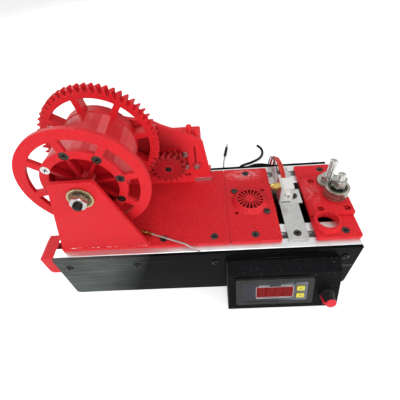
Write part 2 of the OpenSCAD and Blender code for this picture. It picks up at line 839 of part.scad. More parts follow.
module bottom_plate()
    color("black") translate([rail_left, front_face, 0]) cube([rail_length, frame_depth, floor_thick]);

module panel_screws()
    color("dimgray") for (share = panel_screw_shares, side = [-1, 1])
        translate([rail_left + share * rail_length, side * (frame_depth / 2 + panel_thick),
            deck_height - rail_width / 2])
            rotate([-90 * side, 0, 0]) button_screw(panel_screw_length);

// Places of the countersunk screws that hold the plates and the cross bar down
base_screw_shares = [0.609, 0.91];
base_screw_xs = [for (share = base_screw_shares) base_plate_x + share * base_plate_length];
cutter_screw_inset = 14.3;
cutter_screw_x = cutter_plate_x + cutter_plate_length - cutter_screw_inset;

// Nut that slides in a rail's slot, its hole at the origin and the slot's mouth upwards
module slot_nut()
    translate([0, 0, -slot_lip - t_head_h]) difference() {
        translate([-t_head_length / 2, -t_head_width / 2, 0])
            cube([t_head_length, t_head_width, t_head_h]);
        translate([0, 0, -overrun]) cylinder(h = t_head_h + 2 * overrun, r = screw_r + seat_play);
    }

module slot_nuts()
    color("gray") {
        for (share = panel_screw_shares, side = [-1, 1])
            translate([rail_left + share * rail_length, side * frame_depth / 2,
                deck_height - rail_width / 2]) rotate([-90 * side, 0, 0]) slot_nut();
        for (x = base_screw_xs) translate([x, -slot_y, deck_height]) slot_nut();
        for (x = [fan_x, bar_x, cutter_screw_x], y = [-slot_y, slot_y])
            translate([x, y, deck_height]) slot_nut();
    }

// Flat plate with round corners, its left edge at x and its top at the plates' height
module deck_plate(x, length)
    translate([x, -plate_depth / 2, deck_height]) linear_extrude(height = plate_thick)
        round_rect(length, plate_depth, plate_corner_r);

front_bolt_shares = [-0.65, 0.6];
front_bolt_xs = [for (share = front_bolt_shares) axle_x + share * (share < 0 ? foot_left : foot_right)];
rear_bolt_shares = [-0.5, 0.35];
rear_bolt_xs = [for (share = rear_bolt_shares) axle_x + share * (share < 0 ? foot_left : rear_foot_right)];
packing_x = axle_x + rear_foot_right - packing_length;
packing_bolt_x = packing_x + packing_length / 2;

module base_plate()
    color("crimson") difference() {
        deck_plate(base_plate_x, base_plate_length);
        for (x = base_screw_xs) translate([x, -slot_y, plate_top]) sunk_hole(plate_thick + overrun);
        for (x = front_bolt_xs) rod_up(x, -slot_y, deck_height - overrun, plate_thick + 2 * overrun,
            screw_r + screw_play);
        for (x = concat(rear_bolt_xs, [packing_bolt_x]))
            rod_up(x, slot_y, deck_height - overrun, plate_thick + 2 * overrun, screw_r + screw_play);
    }

// Plate with the conical grille over the fan
module fan_plate() {
    cone_foot_r = fan_size / 2;
    cone_top_r = grille_r + 1;
    skin = plate_thick / 2;
    well_r = fan_size / 2 - skin;
    top = plate_top + grille_height;
    color("crimson") difference() {
        union() {
            deck_plate(fan_plate_x, fan_plate_length);
            translate([fan_x, 0, plate_top])
                cylinder(h = grille_height, r1 = cone_foot_r, r2 = cone_top_r);
        }
        translate([fan_x, 0, deck_height - overrun]) cylinder(h = plate_thick + overrun, r = well_r);
        translate([fan_x, 0, plate_top - overrun / 10])
            cylinder(h = grille_height - skin, r1 = well_r, r2 = cone_top_r - skin / 2);
        translate([fan_x, 0, plate_top]) difference() {
            cylinder(h = grille_height + overrun, r = grille_r);
            translate([0, 0, -overrun]) cylinder(h = grille_height + 3 * overrun, r = grille_hub_r);
            for (i = [0 : grille_slots - 1]) rotate([0, 0, 360 * i / grille_slots])
                translate([0, -grille_bar / 2, -overrun])
                    cube([cone_foot_r, grille_bar, grille_height + 3 * overrun]);
        }
        for (y = [-slot_y, slot_y]) translate([fan_x, y, plate_top]) sunk_hole(plate_thick + overrun);
        for (sx = [-1, 1], sy = [-1, 1])
            rod_up(fan_x + sx * fan_hole_spacing / 2, sy * fan_hole_spacing / 2, deck_height - overrun,
                plate_thick + 2 * overrun, screw_r + screw_play);
        for (side = [-1, 1])
            rod_up(fan_x + side * fan_hole_spacing / 2, -side * fan_hole_spacing / 2, plate_top,
                grille_height, button_head_r + running_gap / 2);
    }
}

// Plate with the raised pad for the cutter posts and the raised ring
module cutter_plate() {
    front_hole_y = pad_y + pad_hole_inset;
    rear_hole_y = pad_y + pad_depth - pad_hole_inset;
    color("crimson") difference() {
        union() {
            deck_plate(cutter_plate_x, cutter_plate_length);
            upright(pad_x, pad_y, plate_top, pad_depth)
                polygon([[-pad_slope, 0], [0, pad_height], [pad_width, pad_height], [pad_width, -plate_thick],
                    [pad_width - pad_slope, -plate_thick], [pad_width - pad_slope, 0]]);
            translate([ring_x, ring_y, plate_top])
                cylinder(h = ring_height, r1 = ring_foot_r, r2 = ring_top_r);
        }
        rod_up(ring_x, ring_y, deck_height - overrun, plate_thick + ring_height + 2 * overrun, ring_bore_r);
        for (p = [[rear_post_x, rear_post_y], [front_post_x, front_post_y]])
            rod_up(p[0], p[1], deck_height - overrun, plate_thick + pad_height + 2 * overrun,
                bolt_r + screw_play);
        rod_up(rear_post_x, rear_post_y, pad_top - pocket_depth, pocket_depth + overrun,
            bearing_r + pocket_wall);
        for (x = [pad_x + pad_hole_inset, pad_x + pad_width - pad_hole_inset],
             y = [front_hole_y, rear_hole_y]) {
            rod_up(x, y, deck_height - overrun, plate_thick + pad_height + 2 * overrun, pad_hole_r);
            rod_up(x, y, pad_top - pad_hole_head_h, pad_hole_head_h + overrun, pad_hole_head_r);
        }
        for (y = [-slot_y, slot_y])
            translate([cutter_screw_x, y, plate_top]) sunk_hole(plate_thick + overrun);
    }
}

module plate_screws()
    color("black") {
        for (x = base_screw_xs) translate([x, -slot_y, plate_top - 2 * screw_play])
            sunk_screw(plate_screw_length, false);
        for (x = [fan_x, cutter_screw_x], y = [-slot_y, slot_y])
            translate([x, y, plate_top - 2 * screw_play]) sunk_screw(plate_screw_length, false);
        for (y = [-slot_y, slot_y]) translate([bar_x, y, deck_height + bar_thick - 2 * screw_play])
            sunk_screw(plate_screw_length - (plate_thick - bar_thick), false);
    }

// Height from a bracket's foot to the axle
bracket_drop = axle_z - plate_top;

module front_bracket()
    color("crimson") difference() {
        union() {
            upright(axle_x, bracket_y, axle_z, bracket_thick) difference() {
                polygon([[-foot_left, -bracket_drop], [foot_right, -bracket_drop],
                    [front_top_right, front_rise - bracket_bevel],
                    [front_top_right - bracket_bevel, front_rise],
                    [bracket_bevel - front_top_left, front_rise],
                    [-front_top_left, front_rise - bracket_bevel]]);
                circle(bearing_r + seat_play);
            }
            translate([axle_x - foot_left, bracket_y + bracket_thick / 2, plate_top])
                cube([foot_left + front_foot_right, foot_depth + bracket_thick / 2, foot_thick]);
        }
        for (x = front_bolt_xs) rod_up(x, -slot_y, plate_top - overrun, foot_thick + 2 * overrun,
            screw_r + screw_play);
    }

// Rear bracket: its outline runs from the bearing seat down over a sloping shoulder to the motor
module rear_outline() {
    rise = bracket_rise + bracket_drop;
    shoulder = [for (i = [0 : len(shoulder_x_shares) - 1])
        [shoulder_x_shares[i] * rear_foot_right + bracket_top_half * (1 - shoulder_x_shares[i]),
         shoulder_z_shares[i] * rise - bracket_drop]];
    polygon(concat([[-foot_left, -bracket_drop], [-bracket_top_half, bracket_rise - bracket_bevel],
        [bracket_bevel - bracket_top_half, bracket_rise],
        [bracket_top_half - bracket_bevel, bracket_rise]],
        shoulder, [[rear_foot_right, packing_thick - bracket_drop],
        [rear_foot_right - packing_length, packing_thick - bracket_drop],
        [rear_foot_right - packing_length, -bracket_drop]]));
}

module slot_2d(w, h) {
    r = min(w, h) / 2;
    translate([-w / 2, -h / 2]) round_rect(w, h, r * 0.98);
}

module rear_bracket() {
    shaft = [pinion_x - axle_x, pinion_z - axle_z];
    half = gearbox_height / 2;
    color("crimson") difference() {
        union() {
            upright(axle_x, rear_y, axle_z, rear_thick) difference() {
                rear_outline();
                circle(bearing_r + seat_play);
                translate([shaft[0] - window_left, shaft[1] - half])
                    square([window_left + window_right, gearbox_height]);
                translate([shaft[0] + clamp_from_shaft, shaft[1] - clamp_drop])
                    slot_2d(clamp_slot_width, clamp_slot_length);
                translate([shaft[0] + oval_from_shaft, shaft[1] - oval_drop])
                    slot_2d(oval_length, oval_width);
                translate([shaft[0] + adjust_from_shaft, shaft[1] - adjust_drop])
                    circle(screw_r + screw_play);
            }
            difference() {
                rod_back(axle_x, rear_y + rear_thick / 2, axle_z, rear_seat - rear_thick / 2, rear_boss_r);
                rod_back(axle_x, rear_y, axle_z, rear_seat + overrun, bearing_r + seat_play);
            }
            difference() {
                rod_back(pinion_x + adjust_from_shaft, rear_y - adjust_boss_h, pinion_z - adjust_drop,
                    adjust_boss_h + rear_thick / 2, adjust_boss_r);
                rod_back(pinion_x + adjust_from_shaft, rear_y - adjust_boss_h - overrun,
                    pinion_z - adjust_drop, rear_seat, screw_r + screw_play);
            }
            translate([axle_x - foot_left, rear_y + rear_thick / 2, plate_top])
                cube([rear_foot_right + foot_left - packing_length, foot_depth + rear_thick / 2, foot_thick]);
            translate([packing_x, rear_y + rear_thick / 2, plate_top + packing_thick])
                cube([packing_length, foot_depth + rear_thick / 2, foot_thick]);
        }
        upright(pinion_x + adjust_from_shaft - 1, rear_y - overrun,
            pinion_z - adjust_drop + adjust_boss_r + adjust_slot_length / 2, overrun + rear_thick * 0.4)
            slot_2d(adjust_slot_width, adjust_slot_length);
        for (x = concat(rear_bolt_xs, [packing_bolt_x])) rod_up(x, slot_y, plate_top - overrun,
            foot_thick + packing_thick + 2 * overrun, screw_r + screw_play);
    }
}

module packing_strip()
    color("silver") difference() {
        translate([packing_x, rear_y, plate_top])
            cube([packing_length, foot_depth + rear_thick, packing_thick]);
        rod_up(packing_bolt_x, slot_y, plate_top - overrun, packing_thick + 2 * overrun,
            screw_r + screw_play);
    }

// Bolt whose flat head sits in the rail's slot, reaching up to the given height above the deck
module slot_bolt(x, y, reach) {
    rod_up(x, y, deck_height - slot_lip - t_head_h / 2, slot_lip + t_head_h / 2 + reach, screw_r);
    translate([x - t_head_length / 2, y - t_head_width / 2, deck_height - slot_lip - t_head_h])
        cube([t_head_length, t_head_width, t_head_h]);
}

module bracket_bolts() {
    foot_top = plate_thick + foot_thick;
    color("gray") {
        for (p = concat([for (x = front_bolt_xs) [x, -slot_y]], [for (x = rear_bolt_xs) [x, slot_y]])) {
            slot_bolt(p[0], p[1], foot_top + small_nut_h + overrun);
            nut_up(p[0], p[1], deck_height + foot_top, small_nut_flats, small_nut_h, screw_r + seat_play);
        }
        slot_bolt(packing_bolt_x, slot_y, foot_top + packing_thick + small_nut_h + overrun);
        nut_up(packing_bolt_x, slot_y, deck_height + foot_top + packing_thick, small_nut_flats,
            small_nut_h, screw_r + seat_play);
    }
}

// Ball bearing's outer ring with its shields, bored for the inner ring, its front face at y
module bearing_outer(y) {
    shield_r = bearing_r - 1.6;
    shield_drop = 0.4;
    difference() {
        rod_back(axle_x, y, axle_z, bearing_width, bearing_r);
        rod_back(axle_x, y - overrun, axle_z, bearing_width + 2 * overrun, inner_ring_r + turning_play);
        for (face = [y + shield_drop - overrun, y + bearing_width - shield_drop])
            rod_back(axle_x, face, axle_z, overrun, shield_r);
    }
}

module bearing_inner(y)
    difference() {
        rod_back(axle_x, y, axle_z, bearing_width, inner_ring_r);
        rod_back(axle_x, y - overrun, axle_z, bearing_width + 2 * overrun, bolt_r + seat_play);
    }

module bearing_outer_rings()
    color("darkkhaki") for (y = [front_bearing_y, rear_bearing_y]) bearing_outer(y);

// Inner rings of both bearings, with the spacer tubes that hold them off the spool
module bearing_inner_rings() {
    front_ring_end = front_bearing_y + bearing_width;
    color("silver") {
        for (y = [front_bearing_y, rear_bearing_y]) bearing_inner(y);
        difference() {
            union() {
                rod_back(axle_x, front_ring_end, axle_z, flange_y + hub_lead - front_ring_end, spacer_r);
                rod_back(axle_x, gear_back_y, axle_z, rear_bearing_y - gear_back_y, spacer_r);
            }
            rod_back(axle_x, axle_front_y, axle_z, axle_rear_y - axle_front_y, bolt_r + seat_play);
        }
    }
}

module motor_gearbox() {
    boss_y = rear_back_y - gearbox_boss_h;
    edge = 2;
    color("dimgray") difference() {
        union() {
            upright(gearbox_x, rear_back_y, pinion_z - gearbox_height / 2, gearbox_depth)
                round_rect(gearbox_length, gearbox_height, edge);
            rod_back(pinion_x, boss_y, pinion_z, gearbox_boss_h + edge, gearbox_boss_r);
        }
        rod_back(pinion_x, boss_y - overrun, pinion_z, gearbox_boss_h + shaft_depth + 2 * overrun,
            shaft_r + turning_play);
        for (side = [-1, 1])
            rod_back(pinion_x + clamp_from_shaft, rear_back_y - overrun,
                pinion_z - clamp_drop + side * clamp_spacing / 2, shaft_depth, screw_r + seat_play);
    }
}

module motor_can() {
    can_y = rear_back_y + gearbox_depth / 2;
    color("silver") translate([gearbox_x, can_y, pinion_z]) rotate([0, -90, 0]) {
        cylinder(h = can_length, r = can_r);
        translate([0, 0, can_length]) cylinder(h = can_end_h, r = can_end_r);
    }
}

// Shell over the gearbox, open towards the bracket, with two round bosses on its top
module motor_cover() {
    inner_x = gearbox_x - cover_room;
    inner_right = pinion_x + cover_right - gearbox_shaft_offset;
    inner_z = pinion_z - gearbox_height / 2 - cover_room;
    inner_h = gearbox_height + 2 * cover_room;
    inner_depth = gearbox_depth + cover_room;
    outer_z = inner_z - cover_wall;
    outer_h = inner_h + 2 * cover_wall;
    pillar_x = pinion_x + adjust_from_shaft;
    pillar_z = pinion_z - adjust_drop;
    color("crimson") difference() {
        union() {
            difference() {
                upright(inner_x - cover_wall, rear_back_y, outer_z, inner_depth + cover_wall)
                    round_rect(inner_right - inner_x + 2 * cover_wall, outer_h, cover_wall);
                upright(inner_x, rear_back_y - overrun, inner_z, inner_depth + overrun)
                    square([inner_right - inner_x, inner_h]);
            }
            rod_back(pillar_x, rear_back_y, pillar_z, inner_depth + cover_wall / 2, cover_pillar_r);
            for (i = [0, 1])
                rod_up(pinion_x + cover_boss_from_shaft + i * cover_boss_spacing,
                    rear_back_y + cover_boss_y, outer_z + outer_h - cover_wall / 2,
                    cover_wall / 2 + cover_boss_h - i * cover_boss_step, cover_boss_r);
        }
        rod_back(pillar_x, rear_back_y - overrun, pillar_z, panel_screw_length + overrun,
            screw_r + seat_play);
        translate([inner_x + overrun, rear_back_y + gearbox_depth / 2, pinion_z]) rotate([0, -90, 0])
            cylinder(h = cover_wall + 2 * overrun, r = can_r + screw_play);
    }
}

// Pan-head screw, pointing down from its head's bearing face
module pan_screw(length)
    difference() {
        union() {
            cylinder(h = pan_head_h, r = pan_head_r);
            translate([0, 0, -length]) cylinder(h = length, r = screw_r);
        }
        for (turn = [0, 90]) rotate([0, 0, turn])
            translate([-pan_head_r / 2, -screw_r / 5, pan_head_h / 2])
                cube([pan_head_r, screw_r * 2 / 5, pan_head_h]);
    }

// Two screws that clamp the gearbox in the slot, and the adjusting screw on its boss
module motor_screws()
    color("silver") {
        for (side = [-1, 1])
            translate([pinion_x + clamp_from_shaft, rear_y,
                pinion_z - clamp_drop + side * clamp_spacing / 2])
                rotate([90, 0, 0]) pan_screw(rear_thick + shaft_depth - 2 * overrun);
        translate([pinion_x + adjust_from_shaft, rear_y - adjust_boss_h, pinion_z - adjust_drop])
            rotate([90, 0, 0]) pan_screw(rear_thick + panel_screw_length - overrun);
    }

module cross_bar()
    color("silver") difference() {
        translate([bar_x - bar_width / 2, -plate_depth / 2, deck_height])
            cube([bar_width, plate_depth, bar_thick]);
        for (y = [-slot_y, slot_y])
            translate([bar_x, y, deck_height + bar_thick]) sunk_hole(bar_thick + overrun);
        rod_up(angle_x + angle_foot - angle_screw_inset, angle_y + angle_depth / 2,
            deck_height - overrun, bar_thick + 2 * overrun, screw_r + seat_play);
    }

angle_screw_x = angle_x + angle_foot - angle_screw_inset;
angle_base = deck_height + bar_thick;

// Aluminium angle that carries the heater block
module heater_angle()
    color("silver") difference() {
        union() {
            translate([angle_x, angle_y, angle_base]) cube([angle_foot, angle_depth, angle_thick]);
            translate([angle_x, angle_y, angle_base]) cube([angle_thick, angle_depth, angle_height]);
        }
        translate([angle_x - overrun, nozzle_y, nozzle_z]) rotate([0, 90, 0])
            cylinder(h = angle_thick + 2 * overrun, r = nozzle_thread_r + screw_play);
        rod_up(angle_screw_x, angle_y + angle_depth / 2, angle_base - overrun,
            angle_thick + 2 * overrun, screw_r + screw_play);
    }

module heater_block() {
    middle_x = block_x + block_length / 2;
    color("gainsboro") difference() {
        translate([block_x, block_y, block_z]) cube([block_length, block_depth, block_height]);
        translate([block_x - overrun, nozzle_y, nozzle_z]) rotate([0, 90, 0])
            cylinder(h = nozzle_thread_l + overrun, r = nozzle_thread_r + seat_play);
        translate([block_x, nozzle_y, nozzle_z]) rotate([0, 90, 0])
            cylinder(h = block_length + overrun, r = inlet_r);
        rod_back(cartridge_x, block_y + block_depth - cartridge_length, cartridge_z,
            cartridge_length + overrun, cartridge_r + seat_play);
        rod_back(thermistor_x, block_y + block_depth - thermistor_length, thermistor_z,
            thermistor_length + overrun, thermistor_r + seat_play);
        rod_back(middle_x, block_y - overrun, block_z + block_height / 2, pan_screw_l - 3 + overrun,
            screw_r + seat_play);
    }
}

// Brass nozzle pointing at the spool, drilled through for the strip
module nozzle() {
    hex_x = angle_x - nozzle_hex_l;
    color("goldenrod") translate([0, nozzle_y, nozzle_z]) difference() {
        union() {
            translate([hex_x, 0, 0]) rotate([0, 90, 0])
                linear_extrude(height = nozzle_hex_l) circle(r = nozzle_hex_r, $fn = 6);
            translate([hex_x, 0, 0]) rotate([0, -90, 0])
                cylinder(h = nozzle_tip_l, r1 = nozzle_hex_r - nozzle_tip_r / 2,
                    r2 = nozzle_tip_r + nozzle_bore_r);
            translate([hex_x + nozzle_collar, 0, 0]) rotate([0, 90, 0])
                cylinder(h = nozzle_hex_l - nozzle_collar + angle_thick + nozzle_thread_l - overrun,
                    r = nozzle_thread_r);
        }
        translate([hex_x - nozzle_tip_l - overrun, 0, 0]) rotate([0, 90, 0])
            cylinder(h = nozzle_hex_l + nozzle_tip_l + nozzle_thread_l + angle_thick + 2 * overrun,
                r = nozzle_bore_r);
    }
}

module heater_cartridge()
    color("gray") {
        rod_back(cartridge_x, block_y + block_depth - cartridge_length, cartridge_z,
            cartridge_length, cartridge_r);
        rod_back(thermistor_x, block_y + block_depth - thermistor_length, thermistor_z,
            thermistor_length, thermistor_r);
    }

// Black screw through the angle and pale screw on the block's front
module hot_end_screws()
    color("dimgray") {
        translate([angle_screw_x, angle_y + angle_depth / 2, angle_base + angle_thick])
            button_screw(angle_thick + bar_thick);
        translate([block_x + block_length / 2, block_y, block_z + block_height / 2])
            rotate([90, 0, 0]) pan_screw(pan_screw_l - 3);
    }

module heater_leads()
    color("red") {
        tube(heater_route_a, heater_lead_r);
        tube(heater_route_b, heater_lead_r);
    }

module thermistor_lead() color("black") tube(thermistor_route, heater_lead_r / 2, thin_lead_corners);

// Bolt pushed up through the cutter plate, its head under the plate
module post_bolt(x, y) {
    translate([x, y, deck_height - bolt_head_h]) linear_extrude(height = bolt_head_h) hexagon(nut_flats);
    rod_up(x, y, deck_height - bolt_head_h / 2, pad_top + post_height - deck_height + bolt_head_h / 2,
        bolt_r);
}

module cutter_bolts() {
    front_nut_z = front_ring_z + front_ring_height - recess_depth;
    color("silver") {
        post_bolt(rear_post_x, rear_post_y);
        post_bolt(front_post_x, front_post_y);
        nut_up(rear_post_x, rear_post_y, bush_top + seat_play, nut_flats, nut_height,
            bolt_r + seat_play);
        for (i = [0, 1])
            nut_up(front_post_x, front_post_y, front_nut_z + i * (nut_height + seat_play), nut_flats,
                nut_height, bolt_r + seat_play);
    }
}

// Fixed rings that the two cutter rings turn on
module cutter_bushes() {
    front_hub_h = front_ring_z + front_ring_height - recess_depth - pad_top;
    color("silver") {
        difference() {
            rod_up(rear_post_x, rear_post_y, pad_top - pocket_depth, bearing_width, inner_ring_r);
            rod_up(rear_post_x, rear_post_y, pad_top - pocket_depth - overrun,
                bearing_width + 2 * overrun, bolt_r + seat_play);
        }
        difference() {
            union() {
                rod_up(front_post_x, front_post_y, pad_top, collar_top - pad_top, collar_r);
                rod_up(front_post_x, front_post_y, pad_top, front_hub_h, inner_ring_r);
            }
            rod_up(front_post_x, front_post_y, pad_top - overrun, post_height, bolt_r + seat_play);
        }
    }
}

// Ring that turns on a bush, with a ground cutting edge
module cutting_ring(x, y, z, r, height, top_recess)
    translate([x, y, z]) difference() {
        cylinder(h = height, r = r);
        translate([0, 0, -overrun]) cylinder(h = height + 2 * overrun, r = inner_ring_r + turning_play);
        if (top_recess > 0)
            translate([0, 0, height - top_recess]) cylinder(h = top_recess + overrun, r = recess_r + 0.5);
    }

module rear_cutter_ring()
    color("silver") cutting_ring(rear_post_x, rear_post_y, rear_ring_z, bearing_r,
        bearing_width - 2 * shear_gap, 0);

module front_cutter_ring()
    color("silver") cutting_ring(front_post_x, front_post_y, front_ring_z, front_ring_r,
        front_ring_height, recess_depth + running_gap);

// Square fan frame with its spoked motor plate, hung under the fan plate
module fan_frame() {
    base = deck_height - fan_height;
    wall = 1;
    plate_h = 1.5;
    strut_width = 3;
    hub = fan_size * 0.22;
    color("black") translate([fan_x, 0, base]) difference() {
        union() {
            difference() {
                linear_extrude(height = fan_height) translate([-fan_size / 2, -fan_size / 2])
                    round_rect(fan_size, fan_size, wall * 2);
                translate([0, 0, -overrun])
                    cylinder(h = fan_height + 2 * overrun, r = fan_size / 2 - wall);
            }
            cylinder(h = plate_h, r = hub);
            for (i = [0 : 2]) rotate([0, 0, 120 * i + 30]) translate([0, -strut_width / 2, 0])
                cube([fan_size / 2 - wall / 2, strut_width, plate_h]);
        }
        for (sx = [-1, 1], sy = [-1, 1])
            rod_up(sx * fan_hole_spacing / 2, sy * fan_hole_spacing / 2, -overrun,
                fan_height + 2 * overrun, screw_r + screw_play);
        translate([0, 0, -overrun]) cylinder(h = plate_h + 2 * overrun, r = 1 + turning_play);
    }
}

module fan_rotor() {
    base = deck_height - fan_height;
    plate_h = 1.5;
    hub = fan_size * 0.21;
    hub_h = fan_height - plate_h - 3 * running_gap;
    blade_r = fan_size / 2 - 1 - 2 * running_gap;
    blade_thick = 1.2;
    blade_h = hub_h * 0.8;
    blade_pitch = 38;
    color("dimgray") translate([fan_x, 0, base]) {
        translate([0, 0, plate_h + running_gap]) {
            cylinder(h = hub_h, r = hub);
            intersection() {
                for (i = [0 : fan_blades - 1]) rotate([0, 0, 360 * i / fan_blades])
                    translate([hub * 0.8, 0, hub_h / 2]) rotate([blade_pitch, 0, 0])
                        translate([0, -blade_thick / 2, -blade_h / 2])
                            cube([blade_r, blade_thick, blade_h]);
                cylinder(h = hub_h, r = blade_r);
            }
        }
        translate([0, 0, running_gap / 2]) cylinder(h = plate_h + running_gap, r = 1);
    }
}

module fan_screws()
    color("black") for (side = [-1, 1])
        translate([fan_x + side * fan_hole_spacing / 2, -side * fan_hole_spacing / 2, plate_top])
            button_screw(fan_screw_length);

// Places on the console's leaning face: x along it, down measured from its top edge
module on_face(x, down)
    translate([x, console_lip_y - down * sin(console_tilt), console_lip_height - down * cos(console_tilt)])
        rotate([90 - console_tilt, 0, 0]) children();

module console_box() {
    lean = console_wall * tan(console_tilt);
    inner_lip_y = console_lip_y + console_wall / cos(console_tilt) - lean;
    inner_foot_y = console_foot_y + console_wall / cos(console_tilt) + lean;
    inner_lip_z = console_lip_height - console_wall;
    body_w = bezel_width - 2 * body_inset + controller_play;
    body_h = bezel_height - 2 * body_inset + controller_play;
    color("black") difference() {
        lengthwise(console_x, 0, 0, console_width)
            polygon([[console_y, console_base], [console_y, console_back_height],
                [console_lip_y, console_lip_height], [console_foot_y, console_base]]);
        lengthwise(console_x + console_wall, 0, 0, console_width - 2 * console_wall)
            polygon([[console_y + overrun, console_base + console_wall],
                [console_y + overrun, console_back_height - console_wall],
                [console_y, console_back_height - console_wall],
                [inner_lip_y, inner_lip_z], [inner_foot_y, console_base + console_wall]]);
        on_face(controller_x, controller_down)
            translate([-body_w / 2, -body_h / 2, -console_wall - overrun])
                cube([body_w, body_h, console_wall + 2 * overrun]);
        on_face(knob_x, knob_down) translate([0, 0, -console_wall - overrun])
            cylinder(h = console_wall + 2 * overrun, r = pot_bush_r + screw_play);
    }
}

// Openings for the two buttons, cut from z up to the front
module button_cuts(z)
    for (y = [upper_button_y, lower_button_y])
        translate([button_x - button_width / 2 - button_gap, y - button_height / 2 - button_gap, z])
            cube([button_width + 2 * button_gap, button_height + 2 * button_gap, bezel_thick + overrun]);

module controller_case() {
    body_w = bezel_width - 2 * body_inset;
    body_h = bezel_height - 2 * body_inset;
    color("dimgray") on_face(controller_x, controller_down) difference() {
        union() {
            translate([-bezel_width / 2, -bezel_height / 2, 0]) linear_extrude(height = bezel_thick)
                round_rect(bezel_width, bezel_height, bezel_corner_r);
            translate([-body_w / 2, -body_h / 2, -controller_depth])
                cube([body_w, body_h, controller_depth + bezel_thick / 2]);
        }
        translate([-face_width / 2, -face_height / 2 - face_drop, bezel_thick - face_recess])
            cube([face_width, face_height, face_recess + overrun]);
        button_cuts(bezel_thick - face_recess - button_pocket);
    }
}

module controller_face() {
    z = bezel_thick - face_recess;
    color("darkgray") on_face(controller_x, controller_down) difference() {
        union() {
            translate([face_play - face_width / 2, face_play - face_height / 2 - face_drop, z])
                cube([face_width - 2 * face_play, face_height - 2 * face_play, face_thick]);
            for (share = indicator_x_shares)
                translate([share * face_width, indicator_y, z])
                    cylinder(h = face_thick + indicator_proud, r = indicator_r);
        }
        translate([display_x - display_width / 2, display_y - display_height / 2, z - overrun])
            cube([display_width, display_height, face_thick + 2 * overrun]);
        button_cuts(z - overrun);
    }
}

module display_window()
    color("darkred") on_face(controller_x, controller_down)
        translate([display_x + face_play - display_width / 2, display_y + face_play - display_height / 2,
            bezel_thick - face_recess])
            cube([display_width - 2 * face_play, display_height - 2 * face_play,
                face_thick + display_proud]);

// Button that slides into the controller's face
module key(y) {
    low = bezel_thick - face_recess - button_pocket + button_travel + running_gap;
    high = bezel_thick - face_recess + face_thick + button_proud;
    color("gold") on_face(controller_x, controller_down)
        translate([button_x - button_width / 2, y - button_height / 2, low])
            linear_extrude(height = high - low) round_rect(button_width, button_height, button_gap * 3);
}

module upper_button() key(upper_button_y);

module lower_button() key(lower_button_y);

// Board with the potentiometer whose bush passes through the console's face
module speed_controller() {
    board_z = -console_wall - pot_nut_h - pot_body_h;
    color("green") on_face(knob_x, knob_down) difference() {
        union() {
            translate([0, 0, -console_wall]) cylinder(h = console_wall, r = pot_bush_r);
            translate([0, 0, -console_wall - pot_nut_h]) linear_extrude(height = pot_nut_h)
                hexagon(pot_nut_flats);
            translate([0, 0, board_z]) cylinder(h = pot_body_h, r = pot_body_r);
            translate([-board_width / 2, -board_height / 2, board_z - board_thick])
                cube([board_width, board_height, board_thick]);
        }
        translate([0, 0, board_z + pot_body_h / 2])
            cylinder(h = pot_body_h + console_wall + pot_nut_h, r = pot_shaft_r + turning_play);
    }
}

// Fluted knob with its shaft, a raised pointer line and a capped tip
module speed_knob() {
    shaft_low = -console_wall - pot_nut_h - pot_body_h / 3;
    pointer_w = 1.2;
    color("black") on_face(knob_x, knob_down) {
        difference() {
            union() {
                translate([0, 0, knob_gap]) cylinder(h = knob_skirt_h, r = knob_foot_r);
                translate([0, 0, knob_gap + knob_skirt_h])
                    cylinder(h = knob_length - knob_skirt_h, r1 = knob_foot_r - 1, r2 = knob_tip_r);
            }
            for (i = [1 : knob_flute_count - 1]) rotate([0, 0, 180 + 360 * i / knob_flute_count])
                translate([knob_foot_r - 0.6, 0, knob_gap + knob_skirt_h])
                    rotate([0, atan2(knob_tip_r - knob_foot_r + 1, knob_length - knob_skirt_h), 0])
                        cylinder(h = knob_length * 1.2, r = knob_flute_r);
        }
        translate([0, 0, knob_gap + knob_length]) cylinder(h = knob_cap_h, r = knob_cap_r);
        translate([-knob_foot_r, -pointer_w / 2, knob_gap + knob_skirt_h / 2])
            cube([knob_foot_r - knob_tip_r + 1, pointer_w, knob_length * 0.86 - knob_skirt_h / 2]);
        translate([0, 0, shaft_low]) cylinder(h = knob_length / 2 - shaft_low, r = pot_shaft_r);
    }
}

// Rubber grommet clamped in the rear panel, tapering out along the lead
module grommet(x, r, length) {
    neck_r = r + grommet_flange_r - seat_play;
    rim_r = neck_r + grommet_flange_r;
    translate([x, rear_face - grommet_flange_h, outlet_z]) rotate([-90, 0, 0]) {
        cylinder(h = grommet_flange_h, r = rim_r);
        cylinder(h = 2 * grommet_flange_h + panel_thick, r = neck_r);
        translate([0, 0, grommet_flange_h + panel_thick]) cylinder(h = grommet_flange_h, r = rim_r);
        translate([0, 0, 2 * grommet_flange_h + panel_thick])
            cylinder(h = length - grommet_flange_h, r1 = neck_r, r2 = r + 0.4);
    }
}

module lead_grommets()
    color("black") {
        grommet(supply_x, supply_r, supply_relief);
        grommet(sensor_x, sensor_r, sensor_relief);
    }

module supply_lead() color("black") tube(supply_route, supply_r);

module sensor_lead() color("lightgray") tube(sensor_route, sensor_r);

// Black sleeve with a metal tip on the end of the sensor lead
module sensor_sleeve() {
    last = len(sensor_route) - 1;
    way = unit(sensor_route[last] - sensor_route[last - 1]);
    color("dimgray") translate(sensor_route[last]) rotate([0, 0, atan2(way[1], way[0])])
        rotate([0, 90, 0]) {
            cylinder(h = sleeve_length, r = sleeve_r);
            translate([0, 0, sleeve_length]) cylinder(h = tip_length, r = tip_r);
        }
}

